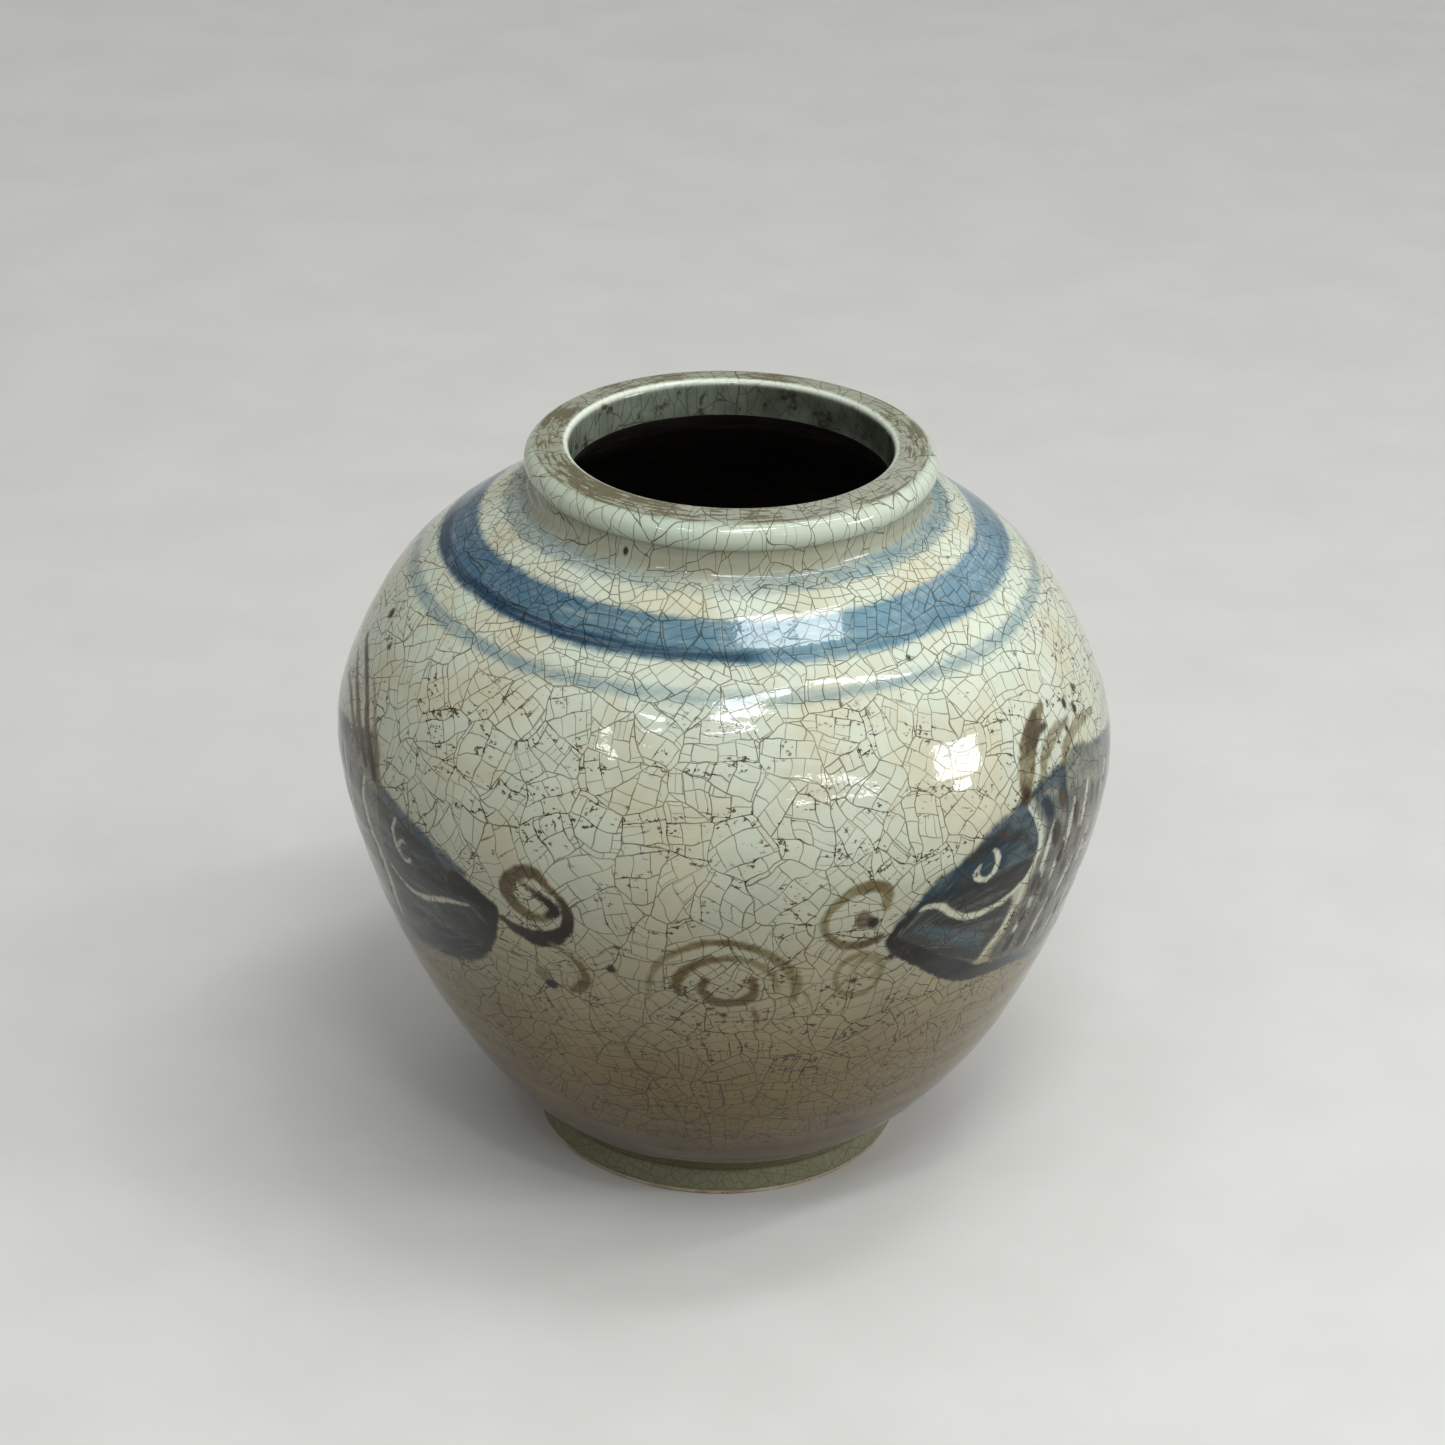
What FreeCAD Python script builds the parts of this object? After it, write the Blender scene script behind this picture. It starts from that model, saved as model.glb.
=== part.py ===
import FreeCAD, Part
import os

# Open ginger jar: a wheel-thrown stoneware pot with a thick rolled lip, a short neck, a broad
# shoulder and a body that tapers to a low foot ring. Millimetres, +Z up, and the origin is the
# centre of the foot ring's resting plane. The clay is in the sections that a potter throws and
# joins. A clear glaze coat covers the outside, the lip and the throat, and a dark slip coat
# covers the inside. Every outline is a list of (radius, height) points or edges.

# Driving dimensions, on the glazed surface
HEIGHT = 232.0
BELLY_RADIUS = 120.0
BELLY_HEIGHT = 139.0
FOOT_RADIUS = 58.2
FOOT_DRAFT = 0.6
FOOT_HEIGHT = 9.5
FOOT_INNER_RADIUS = 50.0
FOOT_CHAMFER = 1.0
FOOT_RECESS = 4.5
FLOOR_THICKNESS = 8.0
WALL = 7.0
NECK_RADIUS = 60.2
NECK_COVE = 3.6
NECK_BASE = 213.9
ROLL_RADIUS = 62.4
ROLL_BASE = 222.4
ROLL_MIDDLE = 227.0
LIP_OUTER_RADIUS = 58.6
LIP_FALL = 0.8
LIP_ROUND = 2.4
THROAT_RADIUS = 48.8
THROAT_BASE = 220.4
THROAT_FLARE = 5.4

# Coats
GLAZE = 0.6
GLAZE_STOP = 2.0
SLIP_COAT = 0.5

# Points that the body passes through between its foot, belly and neck
LOWER_POINTS = [(77.8, 30.0), (98.6, 64.0), (114.0, 105.0)]
UPPER_POINTS = [(115.2, 160.0), (97.0, 190.0), (75.8, 207.2)]

# Directions in which the curves leave the foot, pass the belly and reach the neck
FOOT_WAY = (0.80, 0.60)
BELLY_WAY = (0.0, 1.0)
NECK_WAY = (-0.93, 0.37)
FLOOR_WAY = (0.75, 0.66)
THROAT_WAY = (-0.75, 0.66)

# Worked out from the above
WAIST_RADIUS = FOOT_RADIUS - FOOT_DRAFT
FLOOR_TOP = FOOT_RECESS + FLOOR_THICKNESS
BELLY = (BELLY_RADIUS, BELLY_HEIGHT)
SHOULDER_END = (NECK_RADIUS + NECK_COVE, NECK_BASE)
THROAT_TOP = HEIGHT - LIP_ROUND

# Where the middle of a quarter circle lies between its ends, as a share of its radius
QUARTER_SAG = 1 - 0.5 ** 0.5


def vector(point):
    """A (radius, height) point in the plane that is turned round the axis."""
    return FreeCAD.Vector(point[0], 0, point[1])


def curve(points, first_way, last_way):
    """A smooth curve through points, with its directions at both ends."""
    spline = Part.BSplineCurve()
    spline.interpolate(
        Points=[vector(point) for point in points],
        InitialTangent=vector(first_way),
        FinalTangent=vector(last_way),
    )
    return spline


def line(first, last):
    """A straight edge between two points."""
    return Part.LineSegment(vector(first), vector(last)).toShape()


def arc(first, middle, last):
    """A round edge through three points."""
    return Part.Arc(vector(first), vector(middle), vector(last)).toShape()


def path(points):
    """Straight edges from each point to the next."""
    return [line(first, last) for first, last in zip(points, points[1:])]


def moved_in(spline, points, depth):
    """The points moved square to an upward curve, towards the axis."""
    inner = []
    for point in points:
        way = spline.tangent(spline.parameter(vector(point)))[0]
        inner.append((point[0] - way.z * depth, point[1] + way.x * depth))
    return inner


def stretch(spline, first, last):
    """The part of a curve between two of its points."""
    return spline.toShape(spline.parameter(vector(first)), spline.parameter(vector(last)))


# The glazed surface, to which every other surface of the wall is parallel
LOWER = curve([(WAIST_RADIUS, FOOT_HEIGHT)] + LOWER_POINTS + [BELLY], FOOT_WAY, BELLY_WAY)
UPPER = curve([BELLY] + UPPER_POINTS + [SHOULDER_END], BELLY_WAY, NECK_WAY)
CLAY_NECK = moved_in(UPPER, [SHOULDER_END], GLAZE)[0]


def outer_body(depth):
    """The points and curves of the lower and upper body, at a depth under the glazed surface."""
    waist = (WAIST_RADIUS - depth, FOOT_HEIGHT)
    belly = (BELLY_RADIUS - depth, BELLY_HEIGHT)
    neck = moved_in(UPPER, [SHOULDER_END], depth)
    low = [waist] + moved_in(LOWER, LOWER_POINTS, depth) + [belly]
    high = [belly] + moved_in(UPPER, UPPER_POINTS, depth) + neck
    return low, curve(low, FOOT_WAY, BELLY_WAY), high, curve(high, BELLY_WAY, NECK_WAY)


def inner_body(coat):
    """The points and curves of the lower and upper hollow, bare at coat 0."""
    depth = GLAZE + WALL + coat
    corner = (FOOT_INNER_RADIUS + coat * (FLOOR_WAY[0] - 1) / FLOOR_WAY[1], FLOOR_TOP + coat)
    belly = (BELLY_RADIUS - depth, BELLY_HEIGHT)
    top = (THROAT_RADIUS + GLAZE + THROAT_FLARE - coat, CLAY_NECK[1])
    low = [corner] + moved_in(LOWER, LOWER_POINTS, depth) + [belly]
    high = [belly] + moved_in(UPPER, UPPER_POINTS, depth) + [top]
    return low, curve(low, FLOOR_WAY, BELLY_WAY), high, curve(high, BELLY_WAY, THROAT_WAY)


def neck_outside(depth):
    """The cove at the neck's foot and the upright neck, up to the lip ring."""
    foot = moved_in(UPPER, [SHOULDER_END], depth)[0]
    wall = NECK_RADIUS - depth
    cove_top = (wall, foot[1] + NECK_COVE)
    cove_middle = (wall + QUARTER_SAG * (foot[0] - wall), foot[1] + QUARTER_SAG * NECK_COVE)
    return [arc(foot, cove_middle, cove_top), line(cove_top, (wall, THROAT_BASE))]


def lip_outside(depth):
    """The top of the neck, the roll, the falling lip, its rounded edge and the throat."""
    start = (NECK_RADIUS - depth, ROLL_BASE)
    crown = (ROLL_RADIUS - depth, ROLL_MIDDLE)
    outer = (LIP_OUTER_RADIUS, HEIGHT - LIP_FALL - depth)
    inner = (THROAT_RADIUS + LIP_ROUND, HEIGHT - depth)
    throat = (THROAT_RADIUS + depth, THROAT_TOP)
    turn = (
        throat[0] + QUARTER_SAG * (inner[0] - throat[0]),
        inner[1] - QUARTER_SAG * (inner[1] - throat[1]),
    )
    return [
        line((start[0], THROAT_BASE), start),
        arc(start, crown, outer),
        line(outer, inner),
        arc(inner, turn, throat),
        line(throat, (throat[0], THROAT_BASE)),
    ]


def turned(node, edges):
    """Turn a closed outline round the axis and write it as one node."""
    face = Part.Face(Part.Wire(Part.__sortEdges__(edges)))
    solid = face.revolve(FreeCAD.Vector(0, 0, 0), FreeCAD.Vector(0, 0, 1), 360)
    if solid.ShapeType != "Solid":
        solid = solid.Solids[0]
    if not solid.isValid() or solid.Volume <= 0:
        raise RuntimeError(node + " is not a valid solid")
    solid.exportStep(os.path.join("parts", node + ".step"))
    print(node, round(solid.Volume), "mm3")


def foot_ring():
    """The low ring that the jar stands on, with its resting edges broken."""
    outer = WAIST_RADIUS - GLAZE
    rest = FOOT_RADIUS - GLAZE
    points = [
        (FOOT_INNER_RADIUS, FOOT_HEIGHT),
        (FOOT_INNER_RADIUS, FOOT_CHAMFER),
        (FOOT_INNER_RADIUS + FOOT_CHAMFER, 0),
        (rest - FOOT_CHAMFER, 0),
        (rest, FOOT_CHAMFER),
        (rest, GLAZE_STOP),
        (outer, FOOT_HEIGHT),
        (FOOT_INNER_RADIUS, FOOT_HEIGHT),
    ]
    turned("foot_ring", path(points))


def base_disc():
    """The floor of the jar, inside the foot ring and raised off the table."""
    points = [
        (0, FOOT_RECESS),
        (FOOT_INNER_RADIUS, FOOT_RECESS),
        (FOOT_INNER_RADIUS, FLOOR_TOP),
        (0, FLOOR_TOP),
        (0, FOOT_RECESS),
    ]
    turned("base_disc", path(points))


def wall_section(node, outside, inside, first, last, start=None):
    """A ring of the wall between two numbered points of its outer and inner curves."""
    outer_points, outer_curve = outside
    inner_points, inner_curve = inside
    faces = [
        stretch(outer_curve, outer_points[first], outer_points[last]),
        stretch(inner_curve, inner_points[first], inner_points[last]),
        line(outer_points[last], inner_points[last]),
    ]
    start = start or [line(outer_points[first], inner_points[first])]
    turned(node, faces + start)


def body_wall():
    """The four rings of the wall, from the foot ring to the foot of the neck."""
    low, low_curve, high, high_curve = outer_body(GLAZE)
    bare_low, bare_low_curve, bare_high, bare_high_curve = inner_body(0)
    lower = ((low, low_curve), (bare_low, bare_low_curve))
    upper = ((high, high_curve), (bare_high, bare_high_curve))
    seat = path([bare_low[0], (FOOT_INNER_RADIUS, FOOT_HEIGHT), low[0]])
    wall_section("lower_wall", *lower, 0, 2, seat)
    wall_section("belly_wall", *lower, 2, 4)
    wall_section("shoulder_wall", *upper, 0, 2)
    wall_section("crown_wall", *upper, 2, 4)


def neck_collar():
    """The short neck, flaring inside below the throat."""
    bare_top = inner_body(0)[2][-1]
    inside = path([
        (NECK_RADIUS - GLAZE, THROAT_BASE),
        (THROAT_RADIUS + GLAZE, THROAT_BASE),
        bare_top,
        CLAY_NECK,
    ])
    turned("neck_collar", neck_outside(GLAZE) + inside)


def lip_ring():
    """The thick rolled rim, with the throat inside it."""
    joint = line((THROAT_RADIUS + GLAZE, THROAT_BASE), (NECK_RADIUS - GLAZE, THROAT_BASE))
    turned("lip_ring", lip_outside(GLAZE) + [joint])


def coat_face(depth):
    """The outside from the glaze's lower edge, over the lip and down to the throat's base."""
    low, low_curve, _, high_curve = outer_body(depth)
    edges = [line((FOOT_RADIUS - depth, GLAZE_STOP), low[0])]
    edges += [low_curve.toShape(), high_curve.toShape()]
    return edges + neck_outside(depth) + lip_outside(depth)


def outer_glaze():
    """The clear glaze coat over the outside, the lip and the throat."""
    ends = [
        line((FOOT_RADIUS, GLAZE_STOP), (FOOT_RADIUS - GLAZE, GLAZE_STOP)),
        line((THROAT_RADIUS, THROAT_BASE), (THROAT_RADIUS + GLAZE, THROAT_BASE)),
    ]
    turned("outer_glaze", coat_face(0) + coat_face(GLAZE) + ends)


def inner_slip():
    """The dark slip coat over the floor and the walls, up to the throat's base."""
    bare_low, bare_low_curve, bare_high, bare_high_curve = inner_body(0)
    low, low_curve, high, high_curve = inner_body(SLIP_COAT)
    throat = THROAT_RADIUS + GLAZE
    walls = [shape.toShape() for shape in (bare_low_curve, bare_high_curve, low_curve, high_curve)]
    top = path([bare_high[-1], (throat, THROAT_BASE), (throat - SLIP_COAT, THROAT_BASE), high[-1]])
    floor = path([low[0], (0, FLOOR_TOP + SLIP_COAT), (0, FLOOR_TOP), bare_low[0]])
    turned("inner_slip", walls + top + floor)


os.makedirs("parts", exist_ok=True)
foot_ring()
base_disc()
body_wall()
neck_collar()
lip_ring()
outer_glaze()
inner_slip()
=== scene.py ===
from math import cos, pi, radians, sin

import bmesh
import bpy
import numpy as np
from mathutils import Matrix, Vector


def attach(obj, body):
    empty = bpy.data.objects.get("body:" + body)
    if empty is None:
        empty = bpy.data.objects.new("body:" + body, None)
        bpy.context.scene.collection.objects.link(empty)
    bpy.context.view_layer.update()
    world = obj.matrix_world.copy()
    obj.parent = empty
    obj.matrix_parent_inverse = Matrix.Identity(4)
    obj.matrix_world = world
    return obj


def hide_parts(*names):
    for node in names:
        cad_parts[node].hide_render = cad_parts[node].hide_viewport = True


# An open ginger jar in crackled glaze over brush painting. Lengths are in millimetres until a
# mesh is made, and angles round the jar are in degrees from the front (-Y) towards the right (+X).
# "Run" is the length along the outside, measured up from the foot's resting plane.

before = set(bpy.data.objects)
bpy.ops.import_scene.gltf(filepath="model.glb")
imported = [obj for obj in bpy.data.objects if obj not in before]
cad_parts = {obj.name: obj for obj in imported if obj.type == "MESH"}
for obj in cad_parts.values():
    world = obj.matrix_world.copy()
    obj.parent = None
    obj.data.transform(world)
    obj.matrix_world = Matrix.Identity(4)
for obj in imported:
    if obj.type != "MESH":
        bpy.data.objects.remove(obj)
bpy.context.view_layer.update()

MM = 0.001

# ---- Driving dimensions, the same as in the CAD model ----
HEIGHT = 232.0
BELLY_RADIUS = 120.0
BELLY_HEIGHT = 139.0
FOOT_RADIUS = 58.2
FOOT_DRAFT = 0.6
FOOT_HEIGHT = 9.5
FOOT_INNER_RADIUS = 50.0
FOOT_RECESS = 4.5
FLOOR_TOP = 12.5
WALL = 7.0
NECK_RADIUS = 60.2
NECK_COVE = 3.6
NECK_BASE = 213.9
ROLL_RADIUS = 62.4
ROLL_BASE = 222.4
ROLL_MIDDLE = 227.0
LIP_OUTER_RADIUS = 58.6
LIP_FALL = 0.8
LIP_ROUND = 2.4
THROAT_RADIUS = 48.8
THROAT_BASE = 220.4
THROAT_FLARE = 5.4
GLAZE = 0.6
GLAZE_STOP = 2.0
SLIP_COAT = 0.5

LOWER_POINTS = [(77.8, 30.0), (98.6, 64.0), (114.0, 105.0)]
UPPER_POINTS = [(115.2, 160.0), (97.0, 190.0), (75.8, 207.2)]
FOOT_WAY = (0.80, 0.60)
BELLY_WAY = (0.0, 1.0)
NECK_WAY = (-0.93, 0.37)
FLOOR_WAY = (0.75, 0.66)
THROAT_WAY = (-0.75, 0.66)

WAIST = (FOOT_RADIUS - FOOT_DRAFT, FOOT_HEIGHT)
BELLY = (BELLY_RADIUS, BELLY_HEIGHT)
SHOULDER_END = (NECK_RADIUS + NECK_COVE, NECK_BASE)
COAT_DEPTH = GLAZE + WALL + SLIP_COAT
QUARTER_SAG = 1 - 0.5 ** 0.5

# How finely the surface is meshed
COLUMNS = 720
OUTER_STEP = 1.0
LIP_STEP = 0.4
INNER_STEP = 5.0
PROFILE_STEP = 0.1
SOFTNESS = 0.4  # how far the melted glaze rounds the corners of the outline

# The crackle is drawn on a flat map of the surface that keeps angles, so its scale follows the
# radius, and cells are smaller at the foot than at the belly.
MAP_RADIUS = 120.0
ROLL_STRETCH = 0.5  # cracks run mostly upright on the neck and the lip
NECK_SPREAD = 1.5  # and they are further apart there than the narrow radius would make them

# Painted motifs are laid out on a flat map of this radius
PAINT_RADIUS = 116.0
PAINT_WAIST = 9.52  # the run of the waist on that map
FAR = 9.0  # the distance given to a surface with no paint near it

ROLL_FLAT_RISE = 8.4
ROLL_FLAT_REACH = 1.1
ROLL_FLAT = 0.085  # how much is off the roll where it is flattened, above its middle
CARVE_DEPTH = 0.22  # how deep the bare lines are cut through the paint
INK_HEIGHT = 0.06  # how far thick iron ink stands up under the glaze


# ---- Outline ----
def smooth_curve(points, first_way, last_way):
    """Fine points on the smooth curve through points, with its directions at both ends."""
    p = np.array(points, float)
    spans = np.hypot(*np.diff(p, axis=0).T)
    count = len(p)
    system = np.eye(count)
    right = np.zeros((count, 2))
    right[0] = np.array(first_way) / np.hypot(*first_way)
    right[-1] = np.array(last_way) / np.hypot(*last_way)
    for i in range(1, count - 1):
        before, after = spans[i - 1], spans[i]
        system[i, i - 1:i + 2] = after, 2 * (before + after), before
        right[i] = 3 * (after * (p[i] - p[i - 1]) / before + before * (p[i + 1] - p[i]) / after)
    ways = np.linalg.solve(system, right)
    pieces = []
    for i, span in enumerate(spans):
        t = np.linspace(0, 1, max(3, int(span / PROFILE_STEP)))[:, None]
        pieces.append(
            (1 + 2 * t) * (1 - t) ** 2 * p[i]
            + t * (1 - t) ** 2 * span * ways[i]
            + t ** 2 * (3 - 2 * t) * p[i + 1]
            + t ** 2 * (t - 1) * span * ways[i + 1]
        )
    return np.vstack(pieces)


def round_arc(first, middle, last):
    """Fine points on the arc through three points."""
    a, b, c = (complex(*point) for point in (first, middle, last))
    w = (c - a) / (b - a)
    centre = (b - a) * (w - abs(w) ** 2) / (2j * w.imag) + a
    start, halfway, end = (np.angle(point - centre) for point in (a, b, c))
    turn = np.angle(np.exp(1j * (halfway - start))) + np.angle(np.exp(1j * (end - halfway)))
    steps = start + turn * np.linspace(0, 1, max(4, int(abs(turn) * abs(a - centre) / PROFILE_STEP)))
    points = centre + abs(a - centre) * np.exp(1j * steps)
    return np.column_stack([points.real, points.imag])


def moved_in(profile, points, depth):
    """Points of a fine upward profile, moved square to it towards the axis."""
    moved = []
    for point in points:
        i = int(np.argmin(np.hypot(*(profile - point).T)))
        way = profile[min(i + 3, len(profile) - 1)] - profile[max(i - 3, 0)]
        way = way / np.hypot(*way)
        moved.append((point[0] - way[1] * depth, point[1] + way[0] * depth))
    return moved


LOW_CURVE = smooth_curve([WAIST] + LOWER_POINTS + [BELLY], FOOT_WAY, BELLY_WAY)
HIGH_CURVE = smooth_curve([BELLY] + UPPER_POINTS + [SHOULDER_END], BELLY_WAY, NECK_WAY)


def outside_profile():
    """The glazed outside from the resting plane to the base of the throat."""
    cove_top = (NECK_RADIUS, NECK_BASE + NECK_COVE)
    cove_middle = (NECK_RADIUS + QUARTER_SAG * NECK_COVE, NECK_BASE + QUARTER_SAG * NECK_COVE)
    lip_outer = (LIP_OUTER_RADIUS, HEIGHT - LIP_FALL)
    lip_inner = (THROAT_RADIUS + LIP_ROUND, HEIGHT)
    throat = (THROAT_RADIUS, HEIGHT - LIP_ROUND)
    lip_turn = (THROAT_RADIUS + QUARTER_SAG * LIP_ROUND, HEIGHT - QUARTER_SAG * LIP_ROUND)
    bare = FOOT_RADIUS - GLAZE
    return np.vstack([
        [(bare - 0.8, 0), (bare - 0.3, 0.15), (bare, 0.7), (bare, GLAZE_STOP - 0.5)],
        [(FOOT_RADIUS - 0.15, GLAZE_STOP), (FOOT_RADIUS, GLAZE_STOP + 0.8)],
        LOW_CURVE,
        HIGH_CURVE,
        round_arc(SHOULDER_END, cove_middle, cove_top),
        [(NECK_RADIUS, ROLL_BASE)],
        round_arc((NECK_RADIUS, ROLL_BASE), (ROLL_RADIUS, ROLL_MIDDLE), lip_outer),
        round_arc(lip_inner, lip_turn, throat),
        [(THROAT_RADIUS, THROAT_BASE)],
    ])


def inside_profile():
    """The slipped inside from the edge of the floor to the base of the throat."""
    belly = (BELLY_RADIUS - COAT_DEPTH, BELLY_HEIGHT)
    corner = (FOOT_INNER_RADIUS, FLOOR_TOP + SLIP_COAT)
    top = (THROAT_RADIUS + THROAT_FLARE, NECK_BASE - 0.5)
    lower = [corner] + moved_in(LOW_CURVE, LOWER_POINTS, COAT_DEPTH) + [belly]
    upper = [belly] + moved_in(HIGH_CURVE, UPPER_POINTS, COAT_DEPTH) + [top]
    return np.vstack([
        smooth_curve(lower, FLOOR_WAY, BELLY_WAY),
        smooth_curve(upper, BELLY_WAY, THROAT_WAY),
        [(THROAT_RADIUS, THROAT_BASE)],
    ])


class Outline:
    """A profile as functions of the run along it."""

    def __init__(self, points, softness):
        keep = np.r_[True, np.hypot(*np.diff(points, axis=0).T) > 1e-6]
        points = points[keep]
        run = np.r_[0, np.cumsum(np.hypot(*np.diff(points, axis=0).T))]
        self.run = np.arange(0, run[-1], PROFILE_STEP)
        even = np.column_stack([np.interp(self.run, run, points[:, i]) for i in (0, 1)])
        if softness:
            reach = int(4 * softness / PROFILE_STEP)
            weights = np.exp(-0.5 * (np.arange(-reach, reach + 1) * PROFILE_STEP / softness) ** 2)
            weights /= weights.sum()
            padded = np.pad(even, ((reach, reach), (0, 0)), mode="reflect", reflect_type="odd")
            even = np.column_stack([np.convolve(padded[:, i], weights, "valid") for i in (0, 1)])
        self.points = even
        way = np.gradient(even, axis=0)
        self.normals = np.column_stack([way[:, 1], -way[:, 0]]) / np.hypot(*way.T)[:, None]

    def at(self, run):
        """(radius, height) at a run."""
        return [np.interp(run, self.run, self.points[:, i]) for i in (0, 1)]

    def normal(self, run):
        """The outward direction at a run, as (radial, upward)."""
        return [np.interp(run, self.run, self.normals[:, i]) for i in (0, 1)]

    def run_at(self, point):
        """The run nearest to a (radius, height) point."""
        return self.run[int(np.argmin(np.hypot(*(self.points - point).T)))]


outside = Outline(outside_profile(), SOFTNESS)
inside = Outline(inside_profile(), 0)
RUN_END = outside.run[-1]
RUN_WAIST = outside.run_at(WAIST)
RUN_LOWER = outside.run_at(LOWER_POINTS[1])
RUN_BELLY = outside.run_at(BELLY)
RUN_CROWN = outside.run_at(UPPER_POINTS[1])
RUN_NECK = outside.run_at(SHOULDER_END)
RUN_COLLAR = outside.run_at((NECK_RADIUS, THROAT_BASE))
RUN_ROLL = outside.run_at((NECK_RADIUS, ROLL_BASE))
RUN_FLAT = RUN_ROLL + ROLL_FLAT_RISE
RUN_LIP = outside.run_at((LIP_OUTER_RADIUS, HEIGHT - LIP_FALL))
RUN_THROAT = outside.run_at((THROAT_RADIUS, HEIGHT - LIP_ROUND))
RUN_GLAZE = outside.run_at((FOOT_RADIUS - 0.3, GLAZE_STOP - 0.3))

# (run, share of the middling crackle cells that are parted again into fine ones)
FINE_SHARES = [
    (0, 0.0), (14, 0.35), (60, 0.45), (90, 0.35), (130, 0.25), (190, 0.12), (225, 0.05), (262, 0.0),
]


# ---- The hand-made shape: a slight lean, an oval, throwing ridges and uneven glaze ----
# (height, how far the axis stands to the side there)
LEANS = [
    (0, 0), (15, 0.4), (50, 1.2), (85, 0.9), (120, 0), (160, -0.9), (200, -1.5), (212, -0.9),
    (222, 0), (240, 0),
]


def lean(height):
    """How far the axis stands to the side (+X) at a height."""
    return np.interp(height, *np.array(LEANS).T)


def oval(azimuth, height):
    """The share by which the radius grows at an azimuth, from a slightly oval throwing."""
    middle = np.sin(np.pi * np.clip(height / HEIGHT, 0, 1))
    return 0.0022 * middle * np.cos(2 * azimuth - 0.9) + 0.0012 * middle * np.cos(3 * azimuth + 0.4)


def relief(azimuth, run):
    """Throwing ridges and the uneven melt of the glaze, as a height on the outside."""
    body = np.clip((run - RUN_WAIST) / 8, 0, 1) * np.clip((RUN_ROLL - run) / 12, 0, 1)
    ridges = 0.05 * np.sin(2 * pi * run / 11.5 + azimuth + 0.8 * np.sin(run / 23))
    ridges = ridges + 0.012 * np.sin(2 * pi * run / 5.3 - azimuth + 1.3)
    melt = 0.16 * np.sin(3 * azimuth + run / 17 + 1.7 * np.sin(azimuth + 0.6))
    melt = melt + 0.12 * np.sin(7 * azimuth - run / 12 + 0.9 * np.sin(2 * azimuth + run / 40))
    melt = melt + 0.05 * np.sin(16 * azimuth + run / 7 + 2.1 * np.sin(3 * azimuth - run / 19))
    flat = ROLL_FLAT * np.exp(-((run - RUN_FLAT) / ROLL_FLAT_REACH) ** 2)
    return body * (ridges + melt) - flat


def placed(radius, height, azimuth):
    """Positions of (radius, height) points at azimuths, on the leaning, oval jar."""
    grown = radius * (1 + oval(azimuth, height))
    return np.stack(
        [grown * np.sin(azimuth) + lean(height), -grown * np.cos(azimuth), height + 0 * azimuth],
        axis=-1,
    )


# ---- Brush painting, as distances on a flat map of the outside ----
def through(points, closed=False, steps=7):
    """A smooth path through points with any number of columns."""
    p = np.array(points, float)
    if closed:
        p = np.vstack([p[-1:], p, p[:2]])
    else:
        p = np.vstack([2 * p[0] - p[1], p, 2 * p[-1] - p[-2]])
    t = np.linspace(0, 1, steps, endpoint=False)[:, None]
    parts = []
    for a, b, c, d in zip(p, p[1:], p[2:], p[3:]):
        start = 2 * b + (c - a) * t + (2 * a - 5 * b + 4 * c - d) * t ** 2
        parts.append(0.5 * (start + (3 * b - a - 3 * c + d) * t ** 3))
    return np.vstack(parts + [p[-2:-1]])


def from_line(x, y, a, b):
    """(distance from the line a to b, how far along it from 0 to 1) for each point."""
    dx, dy = b[0] - a[0], b[1] - a[1]
    t = np.clip(((x - a[0]) * dx + (y - a[1]) * dy) / max(dx * dx + dy * dy, 1e-9), 0, 1)
    return np.hypot(x - a[0] - t * dx, y - a[1] - t * dy), t


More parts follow.
